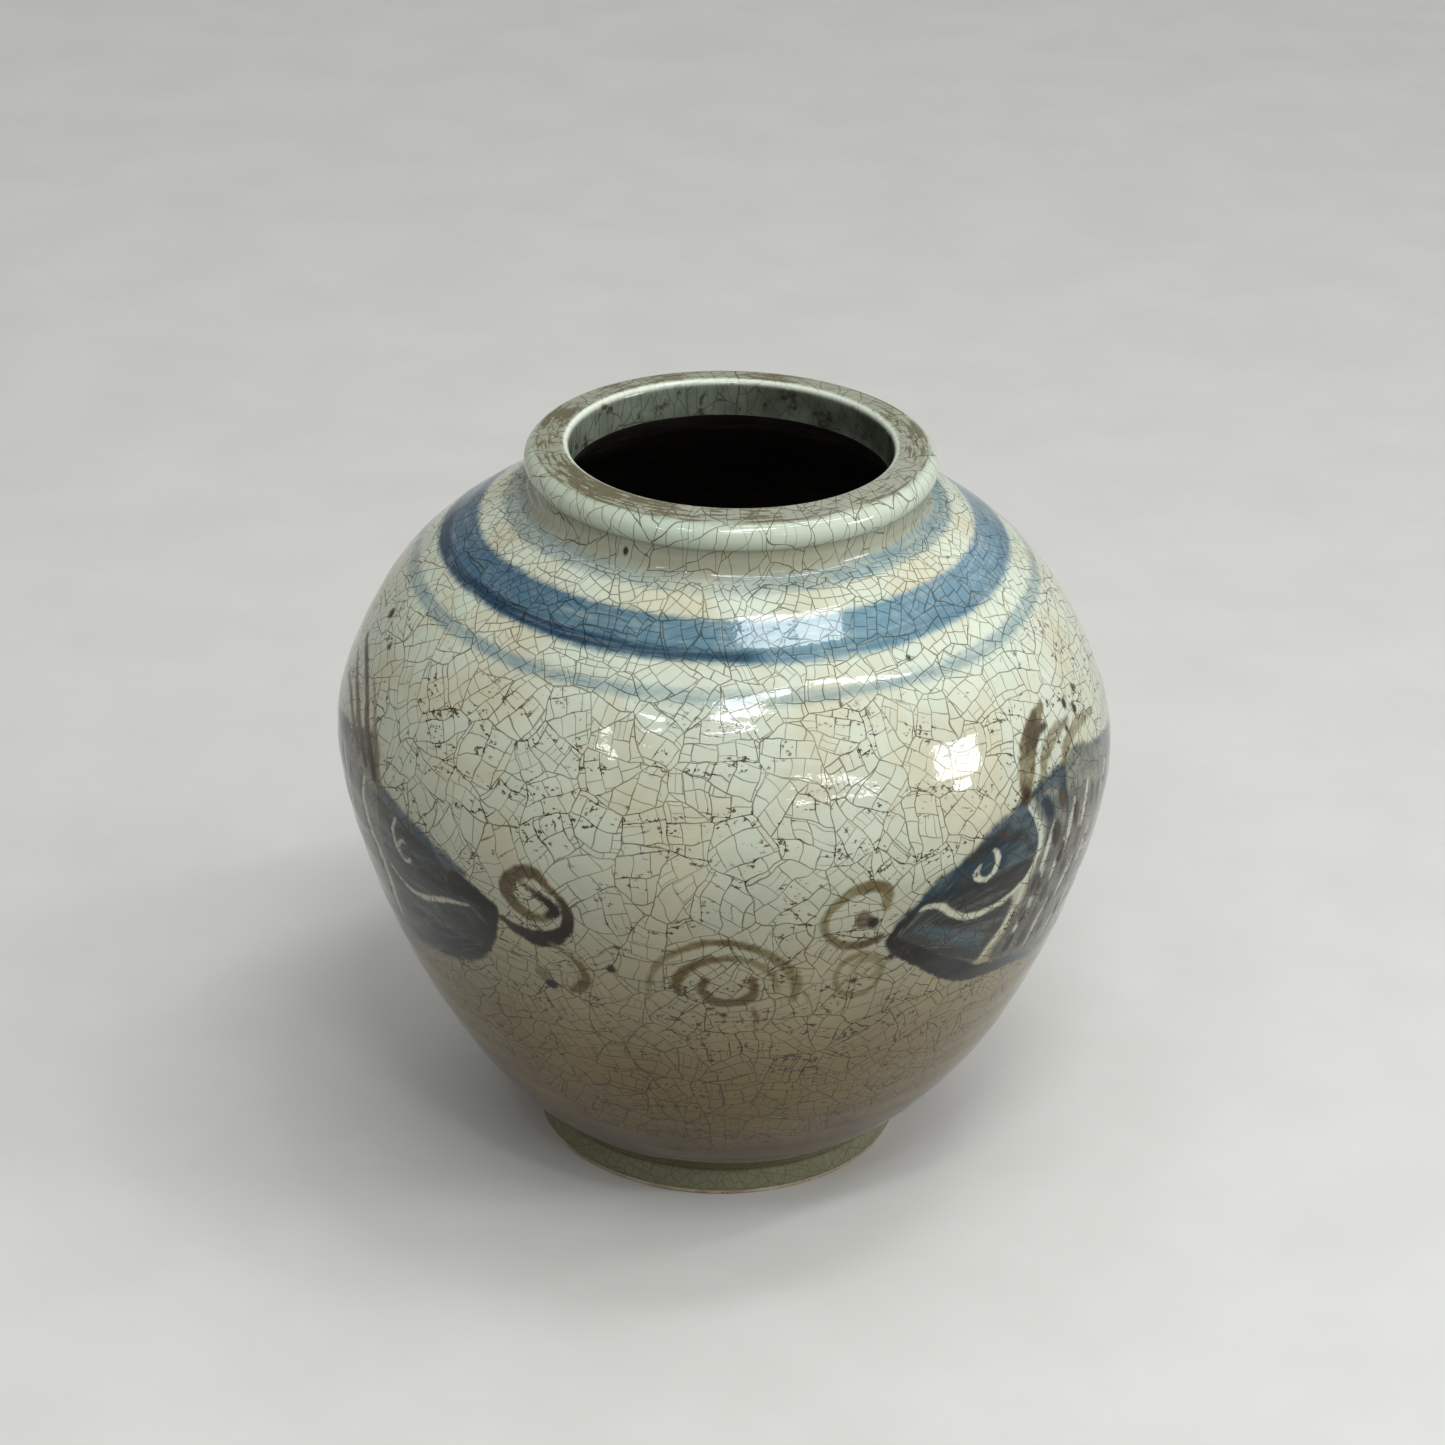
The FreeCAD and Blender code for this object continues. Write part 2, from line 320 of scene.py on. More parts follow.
class Paint:
    """One layer of paint: its edge distance, and its colour and strength, at every point."""

    def __init__(self, azimuth, run):
        self.x = np.radians(azimuth) * PAINT_RADIUS
        self.y = run
        self.edge = np.full(self.x.shape, FAR)
        self.ink = np.zeros(self.x.shape + (4,))
        self.side = 1  # or -1, to paint the mirror image
        self.offset = 0  # and this many degrees further round

    def flat(self, points):
        """(azimuth, run) points as millimetres on the flat paint map."""
        points = np.array(points, float)
        turn = np.radians(self.side * points[:, 0] + self.offset)
        return np.column_stack([turn * PAINT_RADIUS, points[:, 1]])

    def near(self, low, high, margin):
        """Numbers of the points in a box, with a margin round it."""
        return np.flatnonzero(
            (self.x > low[0] - margin) & (self.x < high[0] + margin)
            & (self.y > low[1] - margin) & (self.y < high[1] + margin)
        )

    def lay(self, where, distance, ink):
        """Add paint whose edge is at distance 0, over what is already there."""
        over = np.clip((self.edge[where] - distance) / 1.5, 0, 1)
        over = np.maximum(over, np.clip(0.5 - distance / 1.2, 0, 1))[:, None]
        self.ink[where] = self.ink[where] * (1 - over) + ink * over
        self.edge[where] = np.minimum(self.edge[where], distance)

    def stroke(self, points, inks, closed=False):
        """A brush stroke through (azimuth, run, half width) points, in one ink or from ink to ink."""
        points = np.array(points, float)
        path = through(np.column_stack([self.flat(points[:, :2]), points[:, 2]]), closed)
        margin = FAR / 2 + path[:, 2].max()
        where = self.near(path[:, :2].min(0), path[:, :2].max(0), margin)
        if not len(where):
            return
        x, y = self.x[where], self.y[where]
        best = np.full(len(where), 1e9)
        along = np.zeros(len(where))
        count = len(path) - 1
        for i, (a, b) in enumerate(zip(path, path[1:])):
            distance, t = from_line(x, y, a, b)
            distance = distance - (a[2] + t * (b[2] - a[2]))
            closer = distance < best
            best[closer] = distance[closer]
            along[closer] = ((i + t) / count)[closer]
        inks = np.atleast_2d(np.array(inks, float))
        stops = np.linspace(0, 1, len(inks))
        ink = np.column_stack([np.interp(along, stops, inks[:, i]) for i in range(4)])
        self.lay(where, best, ink)

    def patch(self, points, ink):
        """A filled shape inside a smooth closed outline of (azimuth, run) points."""
        path = through(self.flat(points), closed=True)
        where = self.near(path.min(0), path.max(0), FAR / 2)
        if not len(where):
            return
        x, y = self.x[where], self.y[where]
        best = np.full(len(where), 1e9)
        odd = np.zeros(len(where), bool)
        for a, b in zip(path, np.roll(path, -1, axis=0)):
            dx, dy = b - a
            best = np.minimum(best, from_line(x, y, a, b)[0])
            crosses = (a[1] > y) != (b[1] > y)
            side = x < a[0] + dx * (y - a[1]) / (dy if abs(dy) > 1e-12 else 1e-12)
            odd ^= crosses & side
        self.lay(where, np.where(odd, -best, best), np.array(ink, float))

    def spot(self, azimuth, run, radius, ink, tall=1.0):
        """A dab of the brush, stretched upwards by tall."""
        x = radians(self.side * azimuth + self.offset) * PAINT_RADIUS
        where = self.near((x, run), (x, run), radius * max(1, tall) + FAR / 2)
        distance = np.hypot(self.x[where] - x, (self.y[where] - run) / tall) - radius
        self.lay(where, distance, np.array(ink, float))

    def ring(self, azimuth, run, across, up, half_width, ink, start=0, end=360):
        """A round or oval brush ring, or part of one, from start to end turned from the right."""
        steps = np.radians(np.linspace(start, end, 17))
        span = np.degrees(across / PAINT_RADIUS)
        points = [(azimuth + span * cos(t), run + up * sin(t), half_width) for t in steps]
        self.stroke(points, ink)

    def band(self, low, high, wander, phase, inks):
        """A band round the jar between two runs, with (azimuth, ink) stops, drawn by a wandering hand."""
        turn = self.x / PAINT_RADIUS
        drift = np.sin(turn + phase) + 0.5 * np.sin(3 * turn - phase) + 0.3 * np.sin(8 * turn + phase)
        drift = wander * drift
        swell = 0.4 * wander * np.sin(5 * turn + 2 * phase)
        distance = np.maximum(low + drift - swell - self.y, self.y - high - drift - swell)
        stops = [azimuth for azimuth, _ in inks]
        tones = np.array([ink for _, ink in inks])
        where = np.flatnonzero(distance < FAR / 2)
        azimuth = np.degrees(turn[where])
        ink = np.column_stack([np.interp(azimuth, stops, tones[:, i], period=360) for i in range(4)])
        self.lay(where, distance[where], ink)


# ---- Inks: linear red, green, blue and strength ----
COBALT = (0.004, 0.022, 0.031, 0.968)
NAVY = (0.002, 0.008, 0.011, 0.985)
STEEL = (0.030, 0.052, 0.062, 0.88)
SLATE = (0.018, 0.021, 0.018, 0.97)
SMOKE = (0.018, 0.020, 0.018, 0.965)
MIST = (0.070, 0.090, 0.092, 0.72)
HAZE = (0.034, 0.042, 0.040, 0.60)
PALE_BLUE = (0.075, 0.150, 0.190, 0.30)
BLACK = (0.002, 0.0015, 0.001, 0.998)
SOOT = (0.008, 0.008, 0.007, 0.975)
IRON = (0.019, 0.008, 0.002, 0.985)
RUST = (0.036, 0.020, 0.006, 0.92)
OCHRE = (0.066, 0.038, 0.005, 0.80)
OLIVE = (0.105, 0.080, 0.022, 0.62)
FAINT = (0.120, 0.094, 0.040, 0.46)
CARVED = (0, 0, 0, 1.0)
LEFT_BARE = (0, 0, 0, 0.3)


def thin(ink, strength):
    """An ink at another strength."""
    return ink[:3] + (strength,)


def neck_bands(wash):
    """The broad blue band on the shoulder, with a pale one above it and a thin one below."""
    # The pale band is painted thinner at the far left (-90°), as painted highlight on the gloss there
    above = ((-90, 0.30), (-50, 0.34), (0, 0.18), (25, 0.40), (90, 0.50))
    below = ((-90, 0.34), (-40, 0.44), (-8, 0.26), (10, 0.30), (60, 0.38))
    wash.band(250.5, 257.5, 0.5, 1.0, [(azimuth, thin(PALE_BLUE, share)) for azimuth, share in above])
    wash.band(227.3, 241.7, 0.6, 2.2, [
        (-120, (0.045, 0.100, 0.155, 0.78)), (-60, (0.036, 0.085, 0.135, 0.84)),
        (-25, (0.046, 0.108, 0.152, 0.76)), (5, (0.060, 0.142, 0.192, 0.74)),
        (12, (0.084, 0.178, 0.235, 0.70)), (60, (0.070, 0.155, 0.215, 0.73)),
        (150, (0.060, 0.125, 0.180, 0.74)),
    ])
    wash.band(227.8, 231.9, 0.6, 2.2, [
        (-120, (0.024, 0.060, 0.100, 0.88)), (-60, (0.010, 0.030, 0.058, 0.95)),
        (5, (0.008, 0.042, 0.072, 0.94)), (9, (0.065, 0.145, 0.195, 0.74)),
        (150, (0.045, 0.100, 0.150, 0.76)),
    ])
    wash.band(215.4, 219.6, 0.7, 4.1, [(azimuth, thin(PALE_BLUE, share)) for azimuth, share in below])


def right_head(wash, iron, bare):
    """The pointed head on the right: cobalt above the mouth, grey below it, black round the snout."""
    wash.patch([
        (25, 145), (28.9, 153), (31.7, 158), (35.6, 161), (38.9, 164.5), (41.7, 168), (45.6, 169.5),
        (49.2, 171), (50.6, 163), (51.2, 155), (49.5, 150), (44, 149.5), (38, 149), (33, 148.5), (28, 147),
    ], COBALT)
    wash.patch([
        (33.5, 149.5), (40, 151.6), (48, 152.5), (51, 149.5), (46.5, 143.4), (42.8, 141), (38, 141),
        (34.5, 145),
    ], SOOT)
    wash.stroke([(27, 148.5, 1.2), (31, 151, 1.6), (36, 152.5, 1.7), (39, 152, 0.8)], NAVY)
    wash.stroke([(36, 160, 0.8), (40, 162.5, 2.0), (44, 163.5, 2.4), (48, 160, 1.6), (49.5, 154, 0.8)], NAVY)
    wash.patch([
        (25, 140), (28, 147.5), (31, 149), (33.5, 145), (36, 141), (39.4, 139), (43, 139.3), (46, 141),
        (46, 135), (44.5, 129), (42.3, 123), (41, 120), (38, 120), (33.5, 125), (28.5, 133),
    ], SLATE)
    wash.stroke([(29, 142, 1.6), (33, 137, 2.4), (37, 132.5, 2.6), (41, 128, 1.6)], STEEL)
    wash.stroke([(31, 145.5, 0.6), (34.5, 140.5, 1.2), (39, 136.5, 1.3), (44.5, 136.5, 0.7)], SOOT)
    iron.stroke([
        (28.5, 149.5, 0.8), (26.4, 145.5, 1.3), (24.6, 141, 1.5), (25.6, 137, 2.4), (29, 131.8, 3.0),
        (33, 125.4, 3.3), (37, 119.6, 3.4), (41, 115.6, 3.0), (46, 113.4, 2.4), (51, 111.2, 1.9),
        (56.5, 107.6, 1.5), (62, 102.5, 1.2),
    ], [NAVY, BLACK, BLACK, BLACK, (0.012, 0.013, 0.014, 0.97), SOOT, SLATE, STEEL, MIST])
    bare.stroke([
        (28.3, 148.6, 0.4), (30.2, 149.2, 0.7), (32.2, 148, 0.9), (34, 144.6, 0.9), (36.4, 141.4, 1.0),
        (39.4, 140.2, 0.9), (42.8, 140.5, 0.8), (46, 142.4, 0.6), (48.9, 145.2, 0.5), (51, 148.2, 0.3),
    ], CARVED)
    bare.stroke([(38.8, 157.6, 0.3), (38.0, 155.4, 0.9), (38.6, 153.4, 1.0), (39.6, 152.2, 0.6)], CARVED)
    bare.stroke([
        (40, 151.9, 0.6), (41.5, 153.8, 0.8), (42.2, 157, 0.9), (41.9, 159.6, 0.8), (41.2, 161.2, 0.3),
    ], CARVED)
    bare.stroke([
        (49.3, 169, 0.4), (50.8, 163, 0.8), (51.5, 156, 0.9), (50.4, 149.4, 0.8), (48.6, 144, 0.9),
        (47.9, 138, 1.0), (46.2, 130.6, 1.1), (44.2, 125, 0.9), (42.6, 120.4, 0.4),
    ], CARVED)


def right_body(wash, iron, bare):
    """Blue hooks and dark scales over a thin grey wash, behind the right head's gill line."""
    wash.patch([
        (50.6, 170), (54, 172), (60, 172), (67, 170), (69, 150), (69, 125), (66, 104), (59, 108),
        (52, 112), (46, 115), (44.5, 121), (47, 128), (49, 137), (50.6, 147), (52.4, 156),
    ], HAZE)
    wash.stroke([
        (50.5, 171, 1.2), (54, 172.5, 1.8), (60, 171.6, 2.8), (67, 169.6, 3.0), (74, 166.5, 2.6),
        (81, 161.5, 2.0),
    ], COBALT)
    wash.stroke([(52, 171, 1.6), (53.6, 166, 2.2), (54, 160, 1.9), (53, 154, 0.9)], [COBALT, NAVY, COBALT])
    wash.stroke([(56.7, 172, 1.4), (58.8, 167, 2.1), (59.2, 160, 1.8), (58, 152, 0.8)], [COBALT, NAVY, STEEL])
    wash.stroke([(63.5, 171, 1.3), (65.4, 165, 1.9), (65.6, 158, 1.5), (64, 151, 0.6)], [COBALT, STEEL])
    wash.stroke([(70, 169, 1.1), (71.8, 163, 1.6), (71.6, 156, 1.2), (70, 150, 0.5)], [COBALT, STEEL])
    for azimuth, run, radius, tall in (
        (55.6, 155, 2.1, 1.9), (57.4, 147, 2.0, 2.1), (61.6, 156, 1.8, 2.2), (67.6, 157, 1.7, 2.1),
        (51.8, 140.4, 2.3, 1.8), (55, 134.6, 2.0, 2.0), (59.4, 139.4, 2.0, 2.0), (50.3, 130.4, 1.9, 1.8),
        (53.7, 125.6, 2.0, 1.9), (58.3, 127, 1.9, 2.0), (48.6, 120.8, 2.1, 1.8), (52.6, 118.6, 2.4, 1.7),
        (58, 117.6, 2.0, 1.8), (63.5, 133, 1.9, 2.1), (63, 146.5, 1.8, 2.2), (63.4, 121, 1.9, 1.9),
        (57.4, 164.5, 1.5, 2.0),
    ):
        iron.spot(azimuth, run, radius, IRON if (run + azimuth) % 3 < 2 else RUST, tall)
    for azimuth, low, high in (
        (49.6, 121, 134), (51.8, 126, 146), (53.2, 142, 160), (55.6, 114, 130), (56.6, 138, 152),
        (59.6, 146, 162), (61, 128, 140), (62.4, 110, 124), (64.8, 150, 164), (66, 134, 146), (67, 116, 130),
    ):
        middle = (low + high) / 2
        bare.stroke([(azimuth - 1.2, low, 0.2), (azimuth, middle, 1.0), (azimuth + 1.6, high, 0.2)], CARVED)


def left_head(wash, iron, bare):
    """The blunt, greyer head on the left, with a black lip."""
    wash.patch([
        (-33.3, 144), (-35.2, 146), (-39.1, 150), (-41.9, 152.8), (-45.2, 155.6), (-49, 157.8),
        (-54.7, 160.6), (-60.2, 162.6), (-66, 166), (-70, 160), (-70, 140), (-69, 120), (-67, 98),
        (-59, 106), (-54.7, 107.5), (-49.7, 110.6), (-44.7, 112.8), (-40.2, 117), (-36.9, 124),
        (-34.9, 130.6), (-33.7, 138),
    ], SMOKE)
    wash.stroke([(-39, 151, 1.5), (-46, 156, 1.8), (-54, 160, 2.0), (-61, 162.5, 1.8)], STEEL)
    for points, ink in (
        ([(-40, 144.5, 1.0), (-45, 141.5, 1.8), (-50, 139, 2.0), (-56, 141, 1.6), (-59.5, 147, 1.2)], SOOT),
        ([(-36.5, 134, 1.8), (-39.5, 124.5, 2.4), (-45, 117.5, 2.6), (-52, 114, 1.8), (-58, 111, 1.0)], SOOT),
        ([(-46, 146, 0.8), (-51, 151.5, 1.2), (-57, 153.5, 1.2), (-61, 150, 0.8)], SLATE),
    ):
        wash.stroke(points, ink)
    for first, low in ((-44, 150.4), (-46, 146.4), (-43, 133.6), (-41, 128.2), (-42.5, 122.6)):
        wash.stroke([
            (first, low, 0.3), (first - 5, low - 2.2, 0.8), (first - 11, low - 1.6, 0.9),
            (first - 16, low + 2, 0.3),
        ], STEEL)
    iron.patch([
        (-41.3, 149.8), (-39.1, 149.8), (-36, 146.6), (-33.4, 144.4), (-32.9, 141), (-33.8, 136.8),
        (-36, 137.2), (-37, 141), (-38.6, 142.6), (-41, 141.8), (-42, 145),
    ], BLACK)
    iron.stroke([
        (-34, 140, 1.4), (-35, 133, 1.6), (-36.6, 126.5, 1.5), (-39.5, 120, 1.4), (-43.5, 115.6, 1.2),
    ], [BLACK, SOOT, SLATE])
    bare.stroke([
        (-38.6, 139.6, 0.2), (-42.4, 138, 0.6), (-45.8, 135.4, 0.9), (-49.7, 132.6, 0.9), (-52.6, 132, 0.7),
        (-55.6, 133.6, 0.5), (-58, 136.4, 0.3),
    ], thin(CARVED, 0.6))
    bare.ring(-51.9, 147, 2.8, 3.4, 0.35, thin(CARVED, 0.55), 60, 330)
    bare.stroke([
        (-53.6, 156.6, 0.3), (-54.6, 152, 0.7), (-54.2, 147.4, 0.6), (-53, 144, 0.3),
    ], thin(CARVED, 0.7))
    bare.stroke([
        (-63.8, 161, 0.5), (-64.7, 153, 1.0), (-63.6, 144.5, 1.1), (-61.4, 137, 1.2), (-60.6, 129, 1.2),
        (-61, 120.6, 1.0), (-61.6, 113, 0.5),
    ], CARVED)


def fish_rear(wash, iron, bare, side):
    """The rest of a fish, round the side of the jar: scales, belly line, side fins and tail."""
    for layer in (wash, iron, bare):
        layer.side = side
    back = [(60, 172), (74, 168), (88, 161), (100, 153.5), (110, 147.5), (117, 145)]
    under = [(60, 104), (70, 101.5), (82, 105), (94, 113), (104, 122), (112, 130), (117, 134)]
    wash.stroke([point + (1.4,) for point in back[1:]], [STEEL, MIST, SLATE])
    iron.stroke([point + (1.3,) for point in under], [MIST, SOOT, SLATE])
    wash.patch(back + under[::-1], thin(HAZE, 0.56))
    for column in range(8):
        middle = 70 + 6.0 * column
        top = np.interp(middle, *np.array(back).T) - 8
        low = np.interp(middle, *np.array(under).T) + 7
        count = max(2, int((top - low) / 9))
        for row in range(count):
            run = low + (top - low) * (row + 0.5 * (column % 2)) / (count - 0.5 * ((column + 1) % 2))
            azimuth = middle + 0.6 * sin(5 * row)
            ink = IRON if (row + column) % 3 else RUST
            iron.spot(azimuth, run, 1.9, ink if side > 0 else SOOT, 1.9)
            hook = ((-3.0, 4.8, 0.5), (1.2, 4.4, 1.1), (2.2, -1.5, 0.6))
            comma = ((2.0, -5, 0.2), (3.2, 1, 0.7), (4.6, 6, 0.2))
            wash.stroke([(azimuth + a, run + r, w) for a, r, w in hook], STEEL if row % 2 else MIST)
            bare.stroke([(azimuth + a, run + r, w) for a, r, w in comma], CARVED)
    bare.stroke([(66, 139, 0.4), (80, 136, 0.7), (96, 136, 0.7), (112, 139, 0.4)], LEFT_BARE)
    wash.patch([
        (114, 146), (119, 148), (127, 158), (134, 166), (133, 152), (130, 141), (133, 128), (135, 114),
        (127, 121), (119, 132), (114, 134),
    ], STEEL if side > 0 else SMOKE)
    for k in range(7):
        end = 161 - 6.8 * k
        bare.stroke([(119, 141.5 - 0.6 * k, 0.3), (126, 0.45 * end + 76, 0.5), (132.5, end, 0.3)], LEFT_BARE)
    for k in range(4):
        first = 74 + 4.5 * k
        middle = (first + 4, 97 + 2 * k, 1.0)
        iron.stroke([(first, 104 + 2 * k, 1.2), middle, (first + 9, 91.5 + 2.5 * k, 0.5)], OLIVE)
    for k in range(5):
        first = 84 + 5.5 * k
        middle = (first + 3.5, 171 - 3.8 * k, 1.1)
        iron.stroke([(first, 164 - 3.4 * k, 1.0), middle, (first + 8, 176.5 - 4.4 * k, 0.5)], FAINT)
    for layer in (wash, iron, bare):
        layer.side = 1


def dorsal_fins(iron):
    """Brown brush strokes that sweep back over each fish."""
    for points, inks in (
        (
            [(49, 171, 1.8), (50.6, 178, 3.4), (52.8, 185, 3.8), (56.4, 190, 3.0), (59.6, 193, 1.2)],
            [RUST, OLIVE, OCHRE, OCHRE, OLIVE],
        ),
        ([(51.8, 183, 0.6), (54, 188.4, 1.5), (57, 191.6, 1.0)], RUST),
        ([(54, 174, 1.0), (56, 180, 2.2), (60.5, 183.5, 2.2), (65, 184, 1.0)], [OLIVE, FAINT]),
        ([(60, 174, 0.9), (62.5, 178, 1.8), (68, 180, 1.8), (75, 178, 0.8)], [OLIVE, FAINT]),
        ([(53.5, 184.6, 1.2), (56, 187, 1.7), (58.6, 187.4, 1.0)], RUST),
    ):
        iron.stroke(points, inks)
    for azimuth, run, radius in (
        (66, 188, 1.2), (68.4, 184.4, 1.3), (63.8, 181.7, 1.1), (49.4, 173, 1.5), (71, 189, 1.0),
    ):
        iron.spot(azimuth, run, radius, IRON, 1.3)
    iron.stroke([
        (-60.2, 164, 1.3), (-62.6, 169, 1.5), (-65.8, 175, 1.6), (-69.9, 182.6, 1.5), (-75, 188, 1.2),
        (-82.2, 192, 0.9),
    ], [IRON, RUST, OCHRE, RUST, IRON])
    iron.stroke([
        (-63.6, 165, 1.0), (-67.4, 171, 1.3), (-71.3, 176.4, 1.4), (-75.8, 181, 1.2), (-82.7, 185.4, 0.8),
    ], [RUST, OCHRE, RUST])
    iron.stroke([
        (-66.9, 166, 0.9), (-71.3, 171, 1.1), (-76.9, 176.4, 1.0), (-82.7, 177.6, 0.7),
    ], [OCHRE, RUST])
    iron.stroke([
        (-58, 163.5, 0.8), (-60.4, 170, 1.0), (-63, 177, 1.0), (-66.6, 184, 0.8), (-70, 188.5, 0.5),
    ], [OLIVE, FAINT])


def ripple(iron):
    """Three nested brush rings, open below, as on the middle of the front."""
    iron.stroke([
        (-10.5, 121, 0.5), (-10.1, 129, 0.8), (-8.2, 137, 1.0), (-3.9, 143, 1.1), (0.6, 144.8, 1.1),
        (5.2, 142.2, 1.2), (9, 136, 1.5), (10.9, 128.3, 1.7), (10.6, 121.6, 0.9),
    ], [FAINT, OLIVE, OCHRE, OLIVE, OLIVE])
    iron.stroke([
        (-6.2, 125, 1.0), (-5.9, 131.5, 1.6), (-3.0, 136.8, 1.3), (0.6, 139, 1.0), (4.2, 137.8, 1.0),
        (7.3, 132.8, 1.1), (8.3, 126, 0.6),
    ], [OCHRE, OCHRE, OLIVE, FAINT])
    iron.ring(1.1, 127.4, 7.6, 6.0, 1.3, OCHRE, 150, 390)
    iron.stroke([
        (-2.8, 125, 0.8), (-1.4, 121.8, 1.1), (1.2, 120.8, 1.2), (4.0, 121.8, 1.0), (5.2, 124.6, 0.7),
    ], thin(RUST, 0.6))
    iron.stroke([(4.6, 119, 0.5), (5.2, 115, 0.8), (5.4, 112, 0.4)], OCHRE)


def bubbles(iron):
    """The spiral and the small rings that float between the two snouts."""
    iron.stroke([
        (-24.2, 156, 1.2), (-26.4, 159.6, 1.7), (-29.4, 157.6, 2.2), (-30.9, 152.6, 2.3), (-30, 147.6, 2.1),
        (-27.4, 144.6, 1.7), (-25, 145, 1.2),
    ], [OCHRE, thin(RUST, 0.7), OCHRE, OLIVE])
    iron.stroke([
        (-28.6, 155.4, 0.6), (-26.4, 153.4, 0.9), (-24.4, 151.2, 1.3), (-23.3, 148.4, 1.6), (-24.6, 146, 1.1),
    ], [OCHRE, IRON, BLACK, IRON])
    iron.stroke([
        (-24.2, 156, 0.9), (-22.2, 152.4, 1.3), (-21.4, 147.4, 1.6), (-22, 142.6, 1.9), (-24, 138.4, 2.6),
        (-27, 136.4, 2.8), (-30.2, 137.6, 1.8), (-32.6, 140.4, 0.9),
    ], [OCHRE, RUST, IRON, BLACK, BLACK, IRON, RUST])
    iron.stroke([
        (-24.8, 136, 0.4), (-21.4, 132, 0.9), (-19.8, 126, 1.4), (-21, 120.4, 1.8), (-22.6, 118.6, 0.8),
    ], [OLIVE, OCHRE, thin(RUST, 0.6)])
    iron.spot(-27.0, 122.6, 3.0, thin(OCHRE, 0.4), 0.8)
    iron.spot(-25.9, 119, 2.2, BLACK, 0.85)
    iron.stroke([
        (16.8, 142, 1.0), (14.9, 145.6, 1.1), (14.3, 149.6, 1.2), (15.4, 154.6, 1.3), (18.2, 158.8, 1.6),
        (21.4, 160.2, 1.8), (23.4, 158, 1.9), (23.4, 153, 1.6),
    ], [OCHRE, OLIVE, OLIVE, OCHRE, OLIVE])
    iron.stroke([
        (15.4, 144, 0.9), (17.2, 141.4, 1.3), (20.4, 140.6, 1.4), (23, 142.6, 1.0),
    ], [OLIVE, OCHRE, RUST])
    iron.spot(20.0, 149.6, 2.6, thin(RUST, 0.6), 1.15)
    iron.spot(21.4, 147.8, 1.6, BLACK, 1.35)
    iron.ring(20.2, 128.6, 7.2, 8.4, 0.9, OLIVE)
    iron.ring(20.9, 130.2, 4.6, 4.2, 0.8, thin(OLIVE, 0.4), -60, 150)
    iron.spot(19.4, 126.7, 1.0, IRON, 1.2)
    iron.spot(24.8, 133.4, 1.2, IRON, 0.9)


def stray_spots(iron):
    """Iron spots in the clay and slips of the brush."""
    for azimuth, run, radius, tall in (
        (-77, 204.8, 2.0, 0.9), (-69.7, 199, 1.2, 0.8), (-29.5, 261.5, 1.5, 0.9), (36.5, 222.8, 0.9, 1.0),
        (-15.6, 131, 1.4, 1.0), (10.6, 43.7, 2.2, 0.35), (-10, 36, 2.0, 0.4), (0.4, 116, 1.0, 0.7),
        (-8, 68, 1.3, 0.5), (-18, 84, 0.9, 0.5), (-31, 88, 1.1, 0.4), (-17, 56, 1.0, 0.5),
        (118, 206, 1.6, 0.8), (151, 96, 1.5, 0.6), (-138, 74, 1.3, 0.6), (-165, 188, 1.2, 1.0),
        (92, 58, 1.6, 0.5), (-104, 214, 1.1, 0.9),
    ):
        iron.spot(azimuth, run, radius, IRON, tall)


def painting(azimuth, run):
    """The three layers of decoration: blue and grey wash, iron brown, and lines left or cut bare."""
    wash, iron, bare = (Paint(azimuth, run) for _ in range(3))
    neck_bands(wash)
    left_head(wash, iron, bare)
    right_head(wash, iron, bare)
    right_body(wash, iron, bare)
    for side in (1, -1):
        fish_rear(wash, iron, bare, side)
    dorsal_fins(iron)
    ripple(iron)
    bubbles(iron)
    for half_turn in (180, -180):
        iron.offset = half_turn
        ripple(iron)
        iron.ring(-19, 149, 8.0, 8.6, 1.5, OCHRE, 30, 300)
        iron.ring(19, 128, 7.0, 8.0, 1.0, OLIVE)
    iron.offset = 0
    stray_spots(iron)
    return wash, iron, bare


def brush_lines(azimuth, run):
    """Where to read the noise that streaks the paint: along the bands, and back from each snout."""
    turn = np.radians(azimuth)
    lines = np.stack([4.2 * np.cos(turn), 4.2 * np.sin(turn), 0.75 * run], axis=-1)
    for snout, height in ((24.0, 136.0), (-33.0, 128.0)):
        x = np.radians(azimuth - snout) * PAINT_RADIUS
        y = run - height
        in_fish = (x * np.sign(snout) > -4) & (run < 178) & (run > 96)
        reach = np.hypot(x, y)
        swirl = np.arctan2(y, np.abs(x)) + 0.006 * reach
        fan = np.stack([11 * swirl, reach / 22, 40 + 0 * reach], axis=-1)
        lines[in_fish] = fan[in_fish]
    return lines


# ---- Materials ----
class Wire:
    """A value that flows through a material. Numbers and other wires can be put in sums with it."""

    def __init__(self, graph, socket):
        self.graph = graph
        self.socket = socket

    def __add__(self, other):
        return self.graph.math("ADD", self, other)

    def __sub__(self, other):
        return self.graph.math("SUBTRACT", self, other)

    def __rsub__(self, other):
        return self.graph.math("SUBTRACT", other, self)

    def __mul__(self, other):
        return self.graph.math("MULTIPLY", self, other)

    def above(self, limit):
        return self.graph.math("GREATER_THAN", self, limit)

    def most(self, other):
        return self.graph.math("MAXIMUM", self, other)

    def step(self, low, high, first=0.0, last=1.0):
        """From first to last as the value goes smoothly from low to high."""
        inputs = {"Value": self, "From Min": low, "From Max": high, "To Min": first, "To Max": last}
        return self.graph.node("MapRange", inputs, interpolation_type="SMOOTHSTEP")

    def window(self, low, full, still_full, high):
        """1 between full and still_full, and 0 outside low and high."""
        return self.step(low, full) * self.step(high, still_full)


